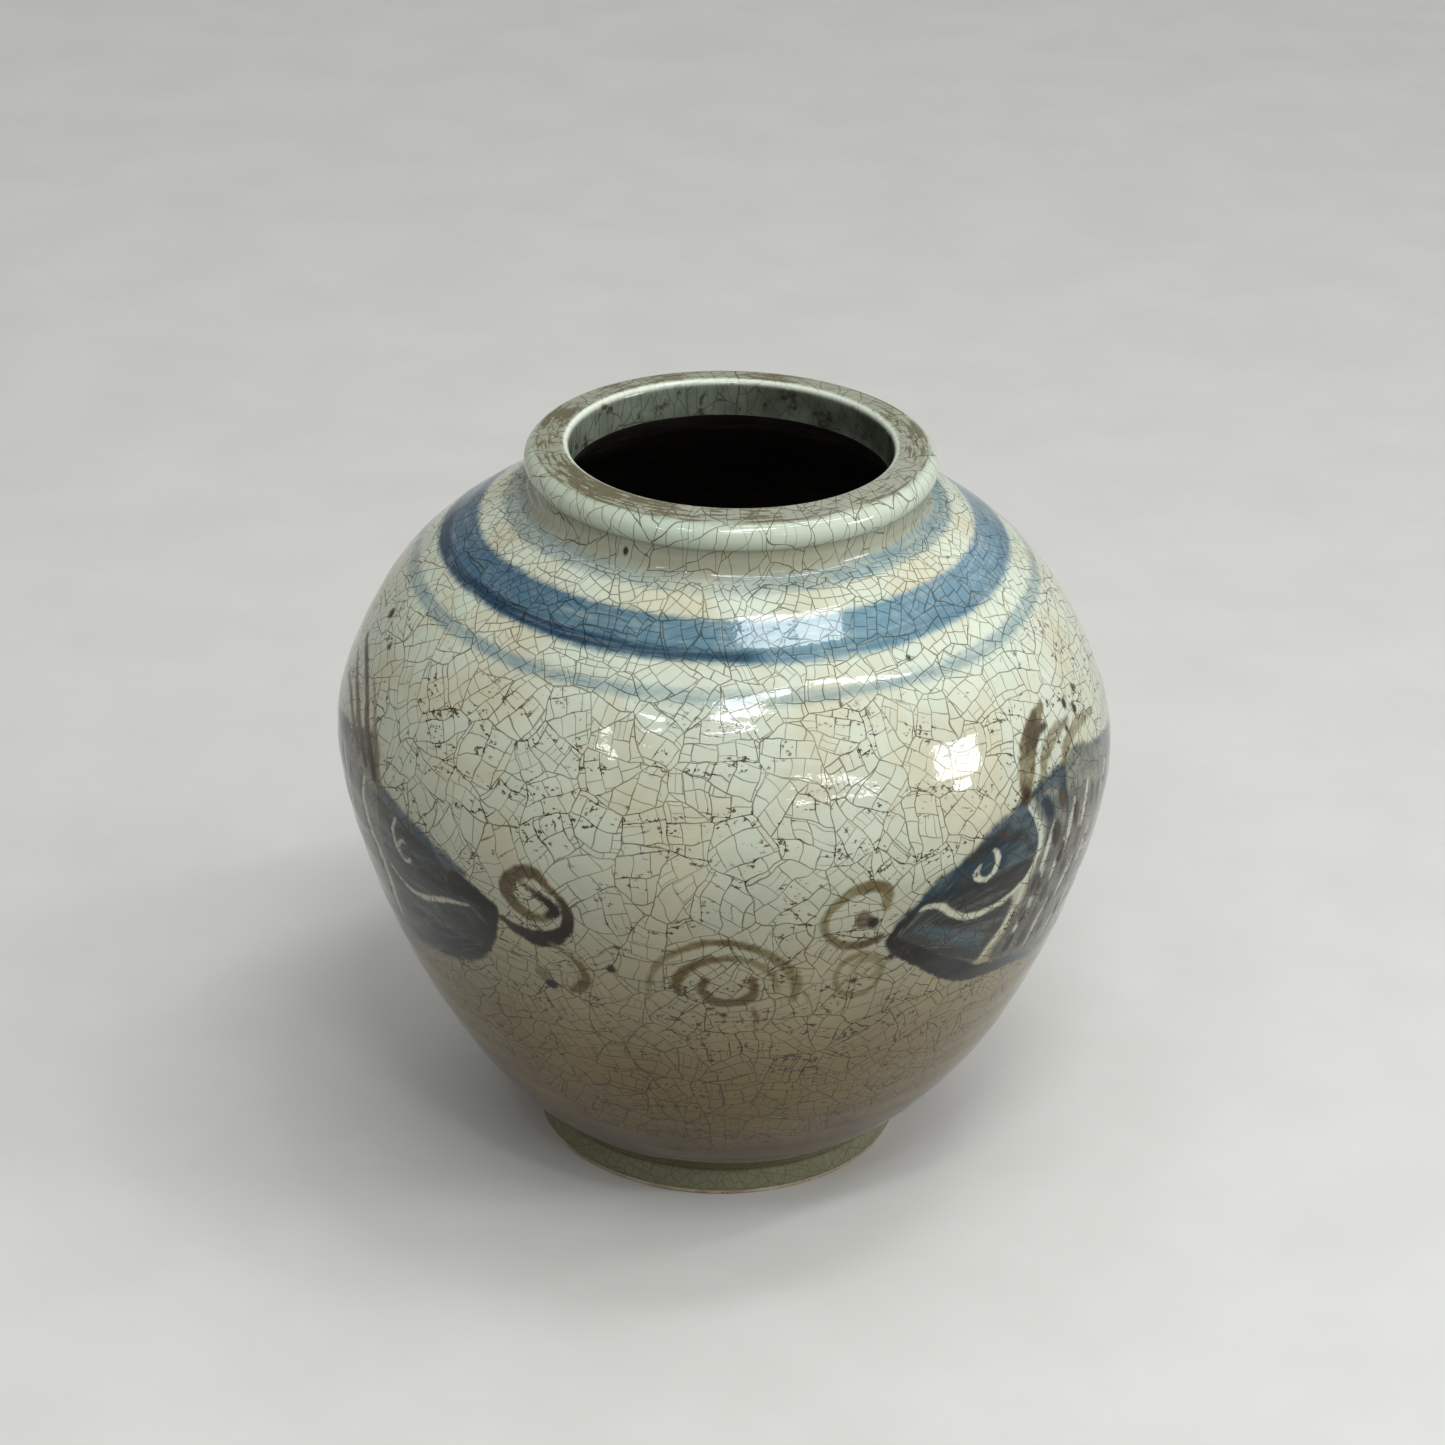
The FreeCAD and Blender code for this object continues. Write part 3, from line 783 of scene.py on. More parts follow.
class Graph:
    """A material's nodes, made by short calls. Values are wires, numbers, vectors or colours."""

    def __init__(self, name):
        self.material = bpy.data.materials.new(name)
        self.material.use_nodes = True
        self.tree = self.material.node_tree
        self.tree.nodes.clear()

    def made(self, kind, inputs=(), **settings):
        """A new node."""
        node = self.tree.nodes.new("ShaderNode" + kind)
        for key, value in settings.items():
            setattr(node, key, value)
        for key, value in dict(inputs).items():
            if isinstance(value, Wire):
                self.tree.links.new(value.socket, node.inputs[key])
            else:
                node.inputs[key].default_value = value
        return node

    def node(self, kind, inputs=(), output=0, **settings):
        """One output of a new node."""
        return Wire(self, self.made(kind, inputs, **settings).outputs[output])

    def math(self, operation, *values, clamp=False):
        return self.node("Math", enumerate(values), operation=operation, use_clamp=clamp)

    def vector(self, operation, *values):
        return self.node("VectorMath", enumerate(values), operation=operation)

    def scaled(self, vector, factor):
        return self.node("VectorMath", {0: vector, "Scale": factor}, operation="SCALE")

    def mix(self, share, first, last, blend="MIX"):
        inputs = {0: share, 6: first, 7: last}
        return self.node("Mix", inputs, 2, data_type="RGBA", blend_type=blend)

    def noise(self, vector, size, detail=2.0, roughness=0.5, output="Fac"):
        """Noise with features of about a size, in the vector's units."""
        inputs = {"Vector": vector, "Scale": 1 / size, "Detail": detail, "Roughness": roughness}
        return self.node("TexNoise", inputs, output)

    def edges(self, inputs, dimensions):
        """The distance to the nearest edge between cells."""
        settings = {"voronoi_dimensions": dimensions, "feature": "DISTANCE_TO_EDGE"}
        return self.node("TexVoronoi", inputs, "Distance", **settings)

    def cells(self, inputs, dimensions="3D"):
        """(distance from the middle of the cell, its three random numbers)."""
        outputs = self.made("TexVoronoi", inputs, voronoi_dimensions=dimensions, feature="F1").outputs
        return Wire(self, outputs["Distance"]), self.split(Wire(self, outputs["Color"]))

    def attribute(self, name, output="Fac"):
        return self.node("Attribute", (), output, attribute_name=name)

    def split(self, vector):
        return [Wire(self, socket) for socket in self.made("SeparateXYZ", {0: vector}).outputs]

    def place(self):
        """The surface point in millimetres, in the jar's own frame."""
        return self.scaled(self.node("TexCoord", (), "Object"), 1 / MM)

    def surface(self, **inputs):
        """The Principled shader with these inputs, as the material's surface."""
        named = {key.replace("_", " "): value for key, value in inputs.items()}
        self.made("OutputMaterial", {"Surface": self.node("BsdfPrincipled", named)})

    def bump(self, height, distance, strength):
        return self.node("Bump", {"Height": height, "Distance": distance, "Strength": strength})


def rgb(red, green, blue):
    return (red, green, blue, 1.0)


# The glaze over bare clay, from the lip down to the foot
LIP_TOP = rgb(0.19, 0.19, 0.138)
LIP_EDGE = rgb(0.60, 0.62, 0.52)
LIP_STAIN = rgb(0.070, 0.054, 0.020)
# Painted shade for the inside of the throat
THROAT_SHADE_GREY = rgb(0.036, 0.042, 0.028)
THROAT_STAIN = rgb(0.020, 0.016, 0.006)
RIM_GREEN = rgb(0.360, 0.415, 0.340)
# Painted shade in the groove under the roll
GROOVE_SHADE_GREEN = rgb(0.12, 0.135, 0.085)
NECK_GREEN = rgb(0.235, 0.235, 0.165)
MINT = rgb(0.445, 0.480, 0.395)
BEIGE = rgb(0.418, 0.405, 0.298)
# Brown stain of the lower body, darkened further as painted shade
TAN_STAIN_AND_SHADE = rgb(0.106, 0.067, 0.014)
UMBER_STAIN_AND_SHADE = rgb(0.042, 0.021, 0.003)
FOOT_GREEN = rgb(0.150, 0.146, 0.088)
CREAM = rgb(0.50, 0.51, 0.41)
CRACK = rgb(0.21, 0.175, 0.100)
SPECK = rgb(0.028, 0.013, 0.004)

# The dark slip, the bare clay and the floor that the jar stands on
SLIP_DARK = rgb(0.012, 0.010, 0.008)
SLIP_BROWN = rgb(0.034, 0.026, 0.019)
SLIP_DUST = rgb(0.085, 0.065, 0.045)
CLAY_PALE = rgb(0.47, 0.40, 0.30)
CLAY_TOASTED = rgb(0.33, 0.235, 0.15)
CLAY_GRIT = rgb(0.08, 0.055, 0.04)
PAPER_LOW = rgb(0.49, 0.475, 0.45)
PAPER_HIGH = rgb(0.515, 0.50, 0.475)

# The crackle: long first cracks round large fields, then ladders of shorter ones across each field
FIELD = 15.0
STRIP = 6.4
RUNG = 5.6
FINE_RUNG = 2.9
CRACK_WIDTHS = (0.28, 0.26, 0.24, 0.20)


def crackle(graph, point):
    """(cracks from 0 to 1, tone of each cell) on the flat map of the surface."""
    across, up, scale = graph.split(graph.attribute("crackle", "Vector"))
    fine_share = graph.split(graph.attribute("surface", "Vector"))[2]
    flat = graph.node("CombineXYZ", {0: across, 1: up})
    for size, reach in ((28.0, 13.0), (9.0, 3.4), (3.5, 0.8)):
        sway = graph.vector("SUBTRACT", graph.noise(point, size, 1.0, output="Color"), (0.5, 0.5, 0.5))
        flat = graph.vector("ADD", flat, graph.scaled(sway, reach))

    def line(distance, size, width):
        return (distance * size * scale).step(width, width * 0.2)

    def cut(place, size, width):
        """Parallel cracks at uneven distances: (lines, random numbers of the strips)."""
        inputs = {"W": place, "Scale": 1 / size, "Randomness": 0.5}
        return line(graph.edges(inputs, "1D"), size, width), graph.cells(inputs, "1D")[1]

    inputs = {"Vector": flat, "Scale": 1 / FIELD, "Randomness": 0.95}
    edge = graph.edges(inputs, "2D")
    turn, shift, tone = graph.cells(inputs, "2D")[1]
    turned = graph.node("VectorRotate", {"Vector": flat, "Angle": turn * pi}, rotation_type="Z_AXIS")
    along, over, _ = graph.split(turned)
    along = along + shift * 310.0
    over = over + tone * 310.0

    cracks = line(edge, FIELD, CRACK_WIDTHS[0])
    strips, (first, second, _) = cut(along, STRIP, CRACK_WIDTHS[1])
    over = over + first * 170.0
    rungs, (third, fourth, _) = cut(over, RUNG, CRACK_WIDTHS[2])
    is_fine = graph.math("LESS_THAN", third, fine_share)
    along = along + fourth * 90.0
    fine, (fifth, _, _) = cut(along, FINE_RUNG, CRACK_WIDTHS[3])
    cracks = cracks.most(strips * 0.95).most(rungs * 0.88).most(fine * is_fine * 0.75)
    strength = graph.noise(point, 9.0, 3.0).step(0.25, 0.6, 0.6, 1.0)
    return cracks * strength, (tone + second + fifth) * (1 / 3)


def brushed(graph, point, base, layer, softness, streaks, ragged, dryness):
    """(colour, cover) with one layer of paint, whose strength builds up where the brush left more."""
    ink = graph.attribute(layer + "_ink", "Color")
    strength = graph.attribute(layer + "_ink", "Alpha")
    fringe = (graph.noise(point, 2.8, 4.0, 0.6) - 0.5) * ragged
    inside_edge = (graph.attribute(layer + "_edge") + fringe).step(softness, -softness)
    streak = graph.noise(graph.attribute("brush", "Vector"), 1.0, 3.0, 0.55).step(0.28, 0.74)
    mottle = graph.noise(point, 4.5, 4.0, 0.6).step(0.3, 0.7)
    load = streak * (1.5 * streaks) + mottle * 0.9 + (1.35 - 0.75 * streaks)
    cover = 1.0 - graph.math("POWER", 1.0 - strength * inside_edge, load)
    dry = streak.step(0.55, 0.05, 0.0, dryness) * strength.window(0.82, 0.94, 0.97, 0.998)
    return graph.mix(cover, base, graph.vector("ADD", ink, dry)), cover


def stained_and_shaded_glaze(graph, point, run, top, tone):
    """The colour of the glaze: pale above, brown below from stain and painted shade, tinted by where it lies,
    with painted shade in the groove under the roll.
    """
    height = graph.split(point)[2]
    cloud = graph.noise(point, 34.0, 3.0, 0.55)
    colour = graph.mix(cloud.step(0.40, 0.62), MINT, BEIGE)
    fall = height + (cloud - 0.5) * 50.0
    rim = run.step(RUN_ROLL - 1, RUN_ROLL + 4)
    neck = run.window(RUN_NECK, RUN_NECK + 4, RUN_ROLL - 2, RUN_ROLL + 1)
    # painted shade in the groove under the roll
    groove = run.window(RUN_ROLL - 3.5, RUN_ROLL, RUN_ROLL + 0.6, RUN_ROLL + 2.2)
    for share, stain in (
        # Stain and painted shade: browner and darker downwards, darkest low down
        (fall.step(205.0, 52.0, 0.0, 0.95), TAN_STAIN_AND_SHADE),
        (fall.step(70.0, 10.0, 0.0, 0.8), UMBER_STAIN_AND_SHADE),
        (height.step(10.4, 8.0), FOOT_GREEN),
        (rim * 0.7, RIM_GREEN),
        (neck * 0.75, NECK_GREEN),
        (groove * 0.45, GROOVE_SHADE_GREEN),
        (top * 0.82, LIP_TOP),
    ):
        colour = graph.mix(share, colour, stain)
    return graph.scaled(colour, tone.step(0.2, 0.8, 0.965, 1.03))


def painted(graph, point, base):
    """(colour, cover of the wash) with the painting, and the lines left or cut bare in it."""
    ragged = (graph.noise(point, 2.0, 3.0) - 0.5) * 1.1
    bare = (graph.attribute("bare_edge") + ragged).step(0.65, -0.45, 0.0, 0.86)
    colour, washed = brushed(graph, point, base, "wash", 1.5, 0.85, 2.2, 0.035)
    colour = graph.mix(bare, colour, graph.mix(0.5, base, CREAM))
    colour, _ = brushed(graph, point, colour, "iron", 0.8, 0.6, 1.9, 0.0)
    return colour, washed


def speckled(graph, point, run, cracks, colour):
    """The colour with iron specks, in level swarms along the cracks and here and there alone."""
    height = graph.split(point)[2]
    swarm = graph.noise(graph.vector("MULTIPLY", point, (1.0, 1.0, 2.6)), 15.0, 3.0, 0.6).step(0.50, 0.58)
    grain = graph.noise(graph.vector("MULTIPLY", point, (1.0, 1.0, 1.6)), 1.9, 3.0, 0.65)
    on_body = run.step(RUN_CROWN + 12, RUN_CROWN - 14) * height.step(10.0, 18.0)
    speck = (grain + cracks * 0.13).step(0.565, 0.61) * swarm * on_body
    distance, (chance, _, _) = graph.cells({"Vector": point, "Scale": 1 / 11.0})
    lone = distance.step(0.085, 0.045) * chance.above(0.74)
    return graph.mix(speck.most(lone * 0.8) * 0.9, colour, SPECK)


def worn_lip_and_throat_shade(graph, point, run, top, cracks, colour):
    """The colour with stains that run round the worn top of the lip and down the throat, and painted shade
    inside the throat.
    """
    round_lip = graph.vector("MULTIPLY", graph.attribute("brush", "Vector"), (1.7, 1.7, 1.3))
    blotch = graph.noise(round_lip, 1.0, 4.0, 0.65) * 0.5 + graph.noise(point, 26.0, 2.0) * 0.5
    blotch = (blotch + cracks * 0.045).step(0.495, 0.55)
    rim_line = run.window(RUN_LIP - 1.0, RUN_LIP - 0.3, RUN_LIP, RUN_LIP + 0.6)
    rim_line = rim_line * graph.noise(round_lip, 1.6, 3.0).step(0.42, 0.55)
    edge_line = run.window(RUN_THROAT - 3.4, RUN_THROAT - 2.4, RUN_THROAT - 1.2, RUN_THROAT - 0.2)
    throat = run.step(RUN_THROAT - 2.3, RUN_THROAT - 0.4)
    # Painted shade inside the throat: darker towards the right (+X), and mottled
    shade = graph.split(point)[0].step(-45.0, 40.0, 0.76, 0.93)
    shade = shade * graph.noise(point, 9.0, 3.0).step(0.3, 0.7, 0.92, 1.05)
    drips = graph.noise(point, 6.0, 4.0, 0.6).step(0.56, 0.66, 0.0, 0.8)
    for share, stain in (
        (top * blotch * 0.85, LIP_STAIN),
        (rim_line * 0.75, LIP_STAIN),
        (edge_line * 0.6, LIP_EDGE),
        (graph.math("MULTIPLY", throat, shade, clamp=True), THROAT_SHADE_GREY),
        (throat * drips, THROAT_STAIN),
    ):
        colour = graph.mix(share, colour, stain)
    return colour


def glaze_material():
    """Celadon-white glaze: stains and painted shade, brush painting, crackle, iron specks and a glossy skin.
    """
    graph = Graph("crackled_glaze")
    point = graph.place()
    run, seam, _ = graph.split(graph.attribute("surface", "Vector"))
    top = run.window(RUN_LIP - 2.5, RUN_LIP + 1, RUN_THROAT - 4.0, RUN_THROAT - 2.4)
    cracks, tone = crackle(graph, point)
    colour, washed = painted(graph, point, stained_and_shaded_glaze(graph, point, run, top, tone))

    # Cracks, darkest where stain has soaked in
    cracks = cracks.most(seam.step(0.40, 0.10))
    soaked = graph.mix(1.0, colour, CRACK, "MULTIPLY")
    depth = graph.split(point)[2].step(9.5, 11.5, 0.45, 0.95)
    colour = graph.mix(cracks * depth, colour, soaked)
    colour = speckled(graph, point, run, cracks, colour)
    colour = worn_lip_and_throat_shade(graph, point, run, top, cracks, colour)

    gloss = graph.noise(point, 7.0, 4.0, 0.6).step(0.3, 0.7, 0.02, 0.06) + cracks * 0.10 + washed * 0.01
    dimples = graph.noise(point, 3.2, 2.0) + cracks * -0.12
    graph.surface(
        Base_Color=colour, Roughness=gloss, IOR=1.45,
        Normal=graph.bump(dimples, 0.00008, 0.6), Specular_IOR_Level=0.35,
    )
    return graph.material


def slip_material():
    """Dark iron slip with a dull sheen and brushed, throwing-ridged streaks."""
    graph = Graph("dark_slip")
    point = graph.place()
    ridges = graph.noise(graph.vector("MULTIPLY", point, (0.12, 0.12, 1.0)), 3.0, 3.0, 0.6)
    dust = graph.noise(point, 14.0, 4.0, 0.6).step(0.45, 0.75)
    colour = graph.mix(ridges.step(0.3, 0.7), SLIP_DARK, SLIP_BROWN)
    colour = graph.mix(dust * 0.35, colour, SLIP_DUST)
    sheen = ridges.step(0.3, 0.7, 0.38, 0.58)
    graph.surface(Base_Color=colour, Roughness=sheen, IOR=1.5, Normal=graph.bump(ridges, 0.0006, 0.8))
    return graph.material


def clay_material():
    """Bare, gritty stoneware, toasted in clouds."""
    graph = Graph("bare_stoneware")
    point = graph.place()
    toast = graph.noise(point, 16.0, 4.0, 0.6)
    distance, (_, chance, _) = graph.cells({"Vector": point, "Scale": 1 / 1.3})
    grit = distance.step(0.42, 0.25) * chance.above(0.86)
    colour = graph.mix(toast.step(0.35, 0.65), CLAY_PALE, CLAY_TOASTED)
    colour = graph.mix(grit * 0.7, colour, CLAY_GRIT)
    grain = graph.noise(point, 0.7, 4.0, 0.7)
    rough = grain.step(0.3, 0.7, 0.72, 0.92)
    graph.surface(Base_Color=colour, Roughness=rough, IOR=1.45, Normal=graph.bump(grain, 0.0004, 0.9))
    return graph.material


def floor_material():
    """Plain pale paper."""
    graph = Graph("pale_floor")
    fibre = graph.noise(graph.place(), 60.0, 4.0, 0.6)
    colour = graph.mix(fibre.step(0.3, 0.7), PAPER_LOW, PAPER_HIGH)
    graph.surface(Base_Color=colour, Roughness=0.75, IOR=1.3)
    return graph.material


# ---- Meshes ----
GLAZED, SLIPPED, CLAY = range(3)


def runs_between(first, last, step):
    return np.linspace(first, last, max(2, round((last - first) / step)) + 1)


class Outside:
    """The whole glazed outside as a grid of rows and columns, which the pieces share."""

    def __init__(self, breaks):
        rows = [
            runs_between(a, b, LIP_STEP if b > RUN_NECK + 1 or a < RUN_WAIST - 1 else OUTER_STEP)
            for a, b in zip(breaks, breaks[1:])
        ]
        self.run = np.concatenate([part[:-1] for part in rows] + [rows[-1][-1:]])
        self.joints = np.cumsum([0] + [len(part) - 1 for part in rows])
        column = np.arange(COLUMNS)
        to_seam = np.minimum(column, COLUMNS - column)
        wiggle = 3.0 * np.sin(self.run / 16) + 1.6 * np.sin(self.run / 6.3 + 1) + 0.8 * np.sin(self.run / 2.9)
        turn = -180 + 360 * column / COLUMNS + wiggle[:, None] * np.exp(-(to_seam / 14) ** 2)
        run = np.repeat(self.run[:, None], COLUMNS, axis=1)
        azimuth = np.radians(turn)
        radius, height = outside.at(self.run)
        out, up = outside.normal(self.run)
        flat_turn, flat_run = turn.ravel(), run.ravel()
        self.wash, self.iron, self.bare = painting(flat_turn, flat_run - (RUN_WAIST - PAINT_WAIST))
        cut = np.clip(0.5 - self.bare.edge / 1.4, 0, 1) * self.bare.ink[:, 3]
        body = np.clip(0.5 - self.iron.edge / 1.6, 0, 1) * self.iron.ink[:, 3]
        raised = relief(azimuth, run) - CARVE_DEPTH * cut.reshape(run.shape)
        raised = raised + INK_HEIGHT * body.reshape(run.shape)
        self.points = placed(
            radius[:, None] + out[:, None] * raised, height[:, None] + up[:, None] * raised, azimuth
        )
        self.turn = turn
        self.radius = radius
        stretch = 1 - (1 - ROLL_STRETCH) * np.clip((self.run - RUN_NECK) / 3, 0, 1)
        steps = np.diff(self.run) * (stretch[1:] + stretch[:-1]) / (radius[1:] + radius[:-1])
        self.up_map = np.r_[0, np.cumsum(MAP_RADIUS * steps)]
        fine = np.interp(self.run, *np.array(FINE_SHARES).T)
        seam = to_seam * 2 * pi / COLUMNS * radius[:, None]
        self.surface = np.stack([run, seam, np.repeat(fine[:, None], COLUMNS, axis=1)], axis=-1)
        self.brush = brush_lines(flat_turn, flat_run).reshape(run.shape + (3,))
        along = np.gradient(self.points, self.run, axis=0)
        around = np.roll(self.points, -1, axis=1) - np.roll(self.points, 1, axis=1)
        normals = np.cross(around, along)
        self.normals = normals / np.linalg.norm(normals, axis=-1, keepdims=True)


def circle(radius, height, azimuth):
    """One closed loop of points of the jar."""
    return placed(np.full(len(azimuth), float(radius)), np.full(len(azimuth), float(height)), azimuth)


def even_turn(columns):
    return np.radians(-180 + 360 * np.arange(columns) / columns)


def ring_quads(loops, columns):
    """Quads between closed loops, the last joined to the first."""
    loop = np.arange(loops)[:, None] * columns
    following = (np.arange(loops)[:, None] + 1) % loops * columns
    column = np.arange(columns)[None, :]
    after = (column + 1) % columns
    quads = [loop + column, loop + after, following + after, following + column]
    return np.stack(quads, axis=-1).reshape(-1, 4)


def closed_ring(name, points, columns, kinds, slot, *nodes):
    """A closed ring of loops of points, with a material for the faces after each loop."""
    quads = ring_quads(len(kinds), columns)
    mesh = bpy.data.meshes.new(name)
    mesh.vertices.add(len(points))
    mesh.vertices.foreach_set("co", (points * MM).astype(np.float32).ravel())
    mesh.loops.add(quads.size)
    mesh.loops.foreach_set("vertex_index", quads.astype(np.int32).ravel())
    mesh.polygons.add(len(quads))
    mesh.polygons.foreach_set("loop_start", np.arange(0, quads.size, 4, dtype=np.int32))
    for material in MATERIALS:
        mesh.materials.append(material)
    mesh.polygons.foreach_set("material_index", np.repeat(kinds, columns).astype(np.int32))
    mesh.polygons.foreach_set("use_smooth", np.ones(len(quads), bool))
    mesh.update(calc_edges=True)
    piece = bpy.data.objects.new(name, mesh)
    bpy.context.scene.collection.objects.link(piece)
    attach(piece, "root")
    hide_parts(*nodes)
    return piece


def store(mesh, name, kind, domain, values):
    """One named attribute, from an array."""
    field = {"FLOAT": "value", "FLOAT_VECTOR": "vector", "FLOAT_COLOR": "color"}[kind]
    made = mesh.attributes.new(name, kind, domain)
    made.data.foreach_set(field, np.ascontiguousarray(values, dtype=np.float32).ravel())


def glazed_ring(name, grid, part, loops, kinds, *nodes, spread=1.0):
    """One part of the outside as a closed ring, with loops down its inner side.

    kinds has the material of the faces after the last outside row, and after each inner loop.
    spread widens the crackle, where the jar is narrow.
    """
    first, last = grid.joints[part], grid.joints[part + 1]
    rows = slice(first, last + 1)
    count = last + 1 - first
    inner = np.array(loops).reshape(-1, COLUMNS, 3)
    points = np.concatenate([grid.points[rows].reshape(-1, 3), inner.reshape(-1, 3)])
    bare_rows = int(np.sum(grid.run[rows][:-1] < RUN_GLAZE))
    outer_kinds = [CLAY] * bare_rows + [GLAZED] * (count - 1 - bare_rows)
    piece = closed_ring(name, points, COLUMNS, outer_kinds + list(kinds), "glaze", *nodes)
    mesh = piece.data

    spare = len(inner) * COLUMNS
    for layer in ("wash", "iron", "bare"):
        edge = getattr(grid, layer).edge.reshape(-1, COLUMNS)[rows].ravel()
        store(mesh, layer + "_edge", "FLOAT", "POINT", np.r_[edge, np.full(spare, FAR)])
    for layer in ("wash", "iron"):
        ink = getattr(grid, layer).ink.reshape(-1, COLUMNS, 4)[rows].reshape(-1, 4)
        store(mesh, layer + "_ink", "FLOAT_COLOR", "POINT", np.vstack([ink, np.zeros((spare, 4))]))
    for attribute in ("brush", "surface"):
        values = getattr(grid, attribute)[rows].reshape(-1, 3)
        store(mesh, attribute, "FLOAT_VECTOR", "POINT", np.vstack([values, np.zeros((spare, 3))]))

    # The crackle map is kept on face corners, so that it can part at the seam behind the jar
    total = count + len(inner)
    row = np.repeat(np.arange(total), COLUMNS)[:, None] + np.array([[0, 0, 1, 1]])
    row = np.minimum(row, count - 1)
    column = np.tile(np.arange(COLUMNS), total)[:, None] + np.array([[0, 1, 1, 0]])
    turn = np.radians(grid.turn[rows])[row, column % COLUMNS] + 2 * pi * (column == COLUMNS)
    map_radius = MAP_RADIUS / spread
    scale = grid.radius[rows] / map_radius * spread
    crackle_map = np.stack([turn * map_radius, grid.up_map[rows][row] / spread, scale[row]], axis=-1)
    store(mesh, "crackle", "FLOAT_VECTOR", "CORNER", crackle_map)

    normals = [grid.normals[rows].reshape(-1, 3)]
    if len(inner):
        down = np.gradient(inner, axis=0)
        around = np.roll(inner, -1, axis=1) - np.roll(inner, 1, axis=1)
        inward = np.cross(around, down)
        normals.append((inward / np.linalg.norm(inward, axis=-1, keepdims=True)).reshape(-1, 3))
    mesh.normals_split_custom_set_from_vertices(np.vstack(normals))
    return piece


def inner_point(run):
    """The (radius, height) on the inside, square through the wall from a run on the outside."""
    radius, height = outside.at(run)
    out, up = outside.normal(run)
    return inside.at(inside.run_at((radius - out * COAT_DEPTH, height - up * COAT_DEPTH)))


def inner_loops(top, low):
    """Loops down the inside from one (radius, height) to another."""
    runs = runs_between(inside.run_at(low), inside.run_at(top), INNER_STEP)[::-1]
    return [circle(*inside.at(run), even_turn(COLUMNS)) for run in runs]


def wall_piece(name, grid, part, top, low, *nodes, spread=1.0):
    loops = inner_loops(top, low)
    kinds = [CLAY] + [SLIPPED] * (len(loops) - 1) + [CLAY]
    return glazed_ring(name, grid, part, loops, kinds, *nodes, spread=spread)


def build_walls(grid):
    """The glazed rings of the jar, from foot to lip, each closed by its inner side and its joints."""
    turn = even_turn(COLUMNS)
    foot_loops = [
        circle(radius, height, turn)
        for radius, height in (
            (FOOT_INNER_RADIUS, FOOT_HEIGHT), (FOOT_INNER_RADIUS, 1.0), (FOOT_INNER_RADIUS + 0.3, 0.3),
            (FOOT_INNER_RADIUS + 1.0, 0.0),
        )
    ]
    glazed_ring("glazed_foot", grid, 0, foot_loops, [CLAY] * 5, "foot_ring")

    corner = inside.at(0)
    throat_top = (THROAT_RADIUS, THROAT_BASE)
    throat_low = (THROAT_RADIUS + THROAT_FLARE, NECK_BASE - 0.5)
    lower_joint, belly_joint, crown_joint = (inner_point(run) for run in (RUN_LOWER, RUN_BELLY, RUN_CROWN))
    loops = inner_loops(lower_joint, corner) + [circle(FOOT_INNER_RADIUS, FOOT_HEIGHT, turn)]
    kinds = [CLAY] + [SLIPPED] * (len(loops) - 2) + [CLAY, CLAY]
    glazed_ring("glazed_lower_wall", grid, 1, loops, kinds, "lower_wall")
    wall_piece("glazed_belly_wall", grid, 2, belly_joint, lower_joint, "belly_wall", "outer_glaze")
    wall_piece("glazed_shoulder_wall", grid, 3, crown_joint, belly_joint, "shoulder_wall")
    wall_piece("glazed_crown_wall", grid, 4, throat_low, crown_joint, "crown_wall")
    wall_piece("glazed_neck", grid, 5, throat_top, throat_low, "neck_collar", spread=NECK_SPREAD)
    glazed_ring("glazed_lip", grid, 6, [], [CLAY], "lip_ring", spread=NECK_SPREAD)


def build_floor():
    """The floor of the jar: slip above, with the potter's spiral, and bare clay below."""
    columns = 180
    turn = even_turn(columns)
    radii = np.linspace(0, FOOT_INNER_RADIUS, 36)
    loops = []
    for radius in radii:
        fade = min(1, (FOOT_INNER_RADIUS - radius) / 6)
        spiral = 0.35 * fade * np.sin(2 * pi * radius / 8.5 - turn) * min(1, radius / 6)
        loops.append(placed(np.full(columns, radius), FLOOR_TOP + SLIP_COAT + spiral, turn))
    loops = loops[::-1]
    for radius in radii:
        fade = min(1, (FOOT_INNER_RADIUS - radius) / 4)
        dome = 0.5 * fade * (1 - (radius / FOOT_INNER_RADIUS) ** 2)
        marks = 0.12 * fade * np.sin(2 * pi * radius / 3.1 + 2 * turn) * min(1, radius / 4)
        loops.append(placed(np.full(columns, radius), FOOT_RECESS + dome + marks, turn))
    count = len(radii)
    kinds = [SLIPPED] * (count - 1) + [CLAY] * (count + 1)
    piece = closed_ring("jar_floor", np.concatenate(loops), columns, kinds, "clay", "base_disc", "inner_slip")
    work = bmesh.new()
    work.from_mesh(piece.data)
    bmesh.ops.remove_doubles(work, verts=work.verts, dist=0.01 * MM)
    work.to_mesh(piece.data)
    work.free()
    piece.data.set_sharp_from_angle(angle=radians(50))


# ---- Stage: floor, lights and camera ----
DAYLIGHT = (0.93, 0.98, 1.0)


def add_floor():
    mesh = bpy.data.meshes.new("stage_floor")
    half = 4.0
    corners = [(-half, -half, 0), (half, -half, 0), (half, half, 0), (-half, half, 0)]
    mesh.from_pydata(corners, [], [(0, 1, 2, 3)])
    mesh.materials.append(floor_material())
    floor = bpy.data.objects.new("stage_floor", mesh)
    bpy.context.scene.collection.objects.link(floor)


def add_light(name, start, end, width, radiance):
    """A flat, rectangular piece of daylight in metres, from start to end, facing the jar."""
    start, end = Vector(start), Vector(end)
    right, centre = (end - start).normalized(), (start + end) / 2
    back = (centre - right * centre.dot(right)).normalized()
    data = bpy.data.lights.new(name, "AREA")
    data.shape = "RECTANGLE"
    data.size, data.size_y = (end - start).length, width
    data.energy = pi * radiance * data.size * data.size_y
    data.color = DAYLIGHT
    light = bpy.data.objects.new(name, data)
    turn = Matrix((right, back.cross(right), back)).transposed().to_4x4()
    light.matrix_world = Matrix.Translation(centre) @ turn
    bpy.context.scene.collection.objects.link(light)


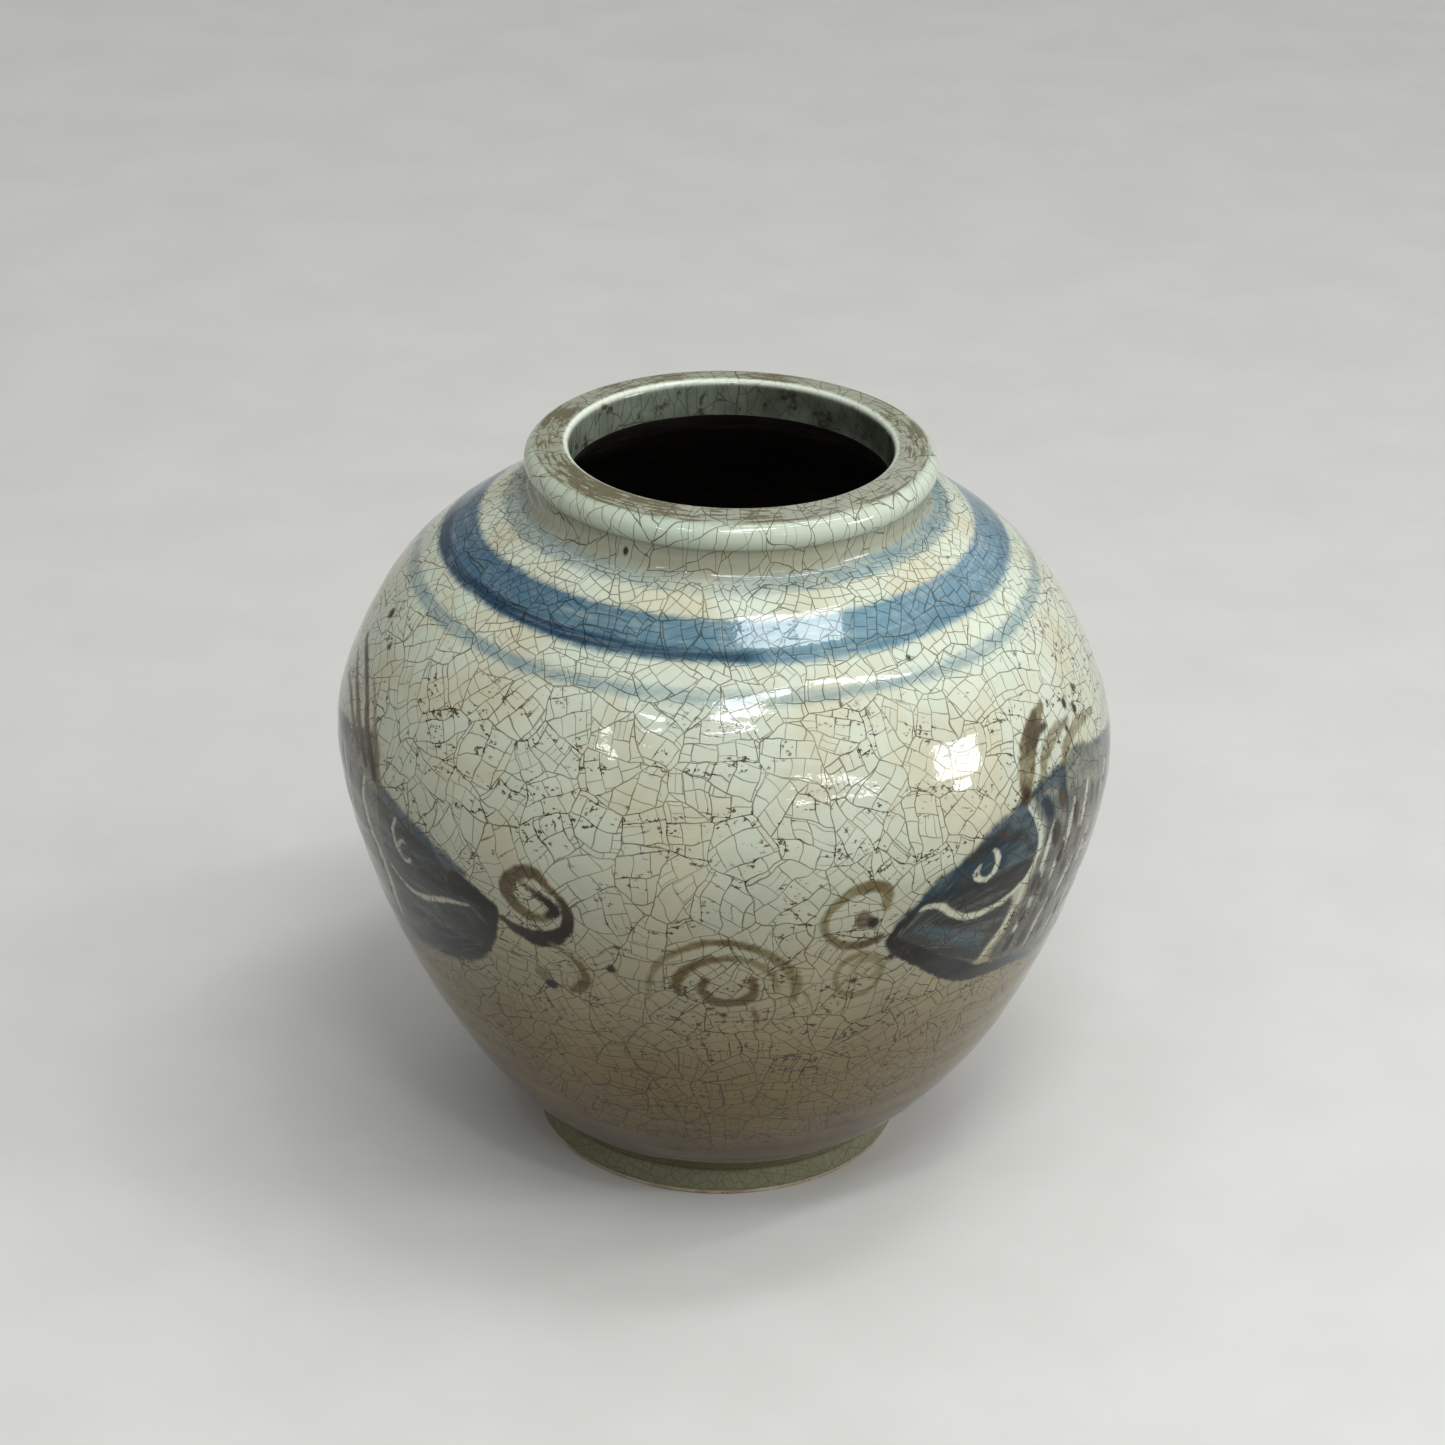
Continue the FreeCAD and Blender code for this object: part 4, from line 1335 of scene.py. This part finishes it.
def add_world():
    """Soft daylight from above and from the right, warmer and dimmer from the left and from below."""
    world = bpy.data.worlds.new("studio")
    world.use_nodes = True
    tree = world.node_tree
    coordinates = tree.nodes.new("ShaderNodeTexCoord")
    towards = tree.nodes.new("ShaderNodeVectorMath")
    towards.operation = "DOT_PRODUCT"
    towards.inputs[1].default_value = Vector((0.62, -0.10, 0.78)).normalized()
    tree.links.new(coordinates.outputs["Generated"], towards.inputs[0])
    ramp = tree.nodes.new("ShaderNodeValToRGB")
    ramp.color_ramp.interpolation = "B_SPLINE"
    stops = ramp.color_ramp.elements
    stops[0].position, stops[0].color = 0.0, rgb(0.25, 0.235, 0.205)
    stops[1].position, stops[1].color = 1.0, rgb(1.95, 2.30, 2.65)
    middle = stops.new(0.45)
    middle.color = rgb(0.45, 0.455, 0.435)
    tree.links.new(towards.outputs["Value"], ramp.inputs[0])
    tree.links.new(ramp.outputs[0], tree.nodes["Background"].inputs["Color"])
    bpy.context.scene.world = world


def add_camera():
    """A camera above the front, looking a little down, as in a shop photograph."""
    yaw, pitch, roll = radians(-0.047), radians(26.79), radians(1.2525)
    ahead = Vector((sin(yaw) * cos(pitch), cos(yaw) * cos(pitch), -sin(pitch)))
    level = ahead.cross(Vector((0, 0, 1))).normalized()
    above = level.cross(ahead)
    right = cos(roll) * level + sin(roll) * above
    up = -sin(roll) * level + cos(roll) * above
    data = bpy.data.cameras.new("camera")
    data.sensor_width = 36.0
    data.lens = 95.85
    data.clip_end = 50
    camera = bpy.data.objects.new("camera", data)
    turn = Matrix((right, up, -ahead)).transposed().to_4x4()
    camera.matrix_world = Matrix.Translation(Vector((0, -1.0695, 0.6771))) @ turn
    bpy.context.scene.collection.objects.link(camera)
    bpy.context.scene.camera = camera


# ---- The jar ----
MATERIALS = [glaze_material(), slip_material(), clay_material()]
grid = Outside([0, RUN_WAIST, RUN_LOWER, RUN_BELLY, RUN_CROWN, RUN_NECK, RUN_COLLAR, RUN_END])
build_walls(grid)
build_floor()

add_floor()
add_world()
# Windows and gaps of daylight above and beside the jar, which its glaze mirrors
for name, start, end, width, radiance in (
    ("skylight_left", (0.11, -0.155, 1.70), (0.435, -0.125, 1.645), 0.16, 18),
    ("skylight_right", (0.45, -0.075, 1.64), (0.685, 0.06, 1.555), 0.16, 18),
    ("long_gap", (0.564, -0.505, 1.531), (1.082, -0.066, 1.284), 0.06, 25),
    ("high_gap", (-0.10, -0.899, 1.454), (0.449, -0.609, 1.534), 0.12, 22),
    ("middle_gap", (0.236, -1.014, 1.354), (-0.10, -0.899, 1.454), 0.045, 34),
    ("low_gap", (-0.167, -1.138, 1.256), (0.236, -1.014, 1.354), 0.03, 38),
    ("left_gleam", (-0.542, -0.835, 1.386), (-0.432, -0.926, 1.368), 0.05, 30),
    ("left_thin_gleam", (-0.579, -1.036, 1.216), (-0.441, -1.034, 1.28), 0.02, 34),
    ("far_left_gleam", (-0.874, -0.93, 1.107), (-0.81, -1.093, 0.992), 0.07, 20),
    ("right_thin_gleam", (0.526, -1.367, 0.811), (1.068, -1.039, 0.737), 0.014, 30),
    ("side_window", (1.355, -0.57, 0.74), (1.51, -0.22, 0.56), 0.20, 22),
    ("side_window_foot", (1.43, -0.52, 0.47), (1.51, -0.36, 0.43), 0.13, 22),
):
    add_light(name, start, end, width, radiance)
add_camera()

bpy.context.scene.view_settings.view_transform = "Standard"
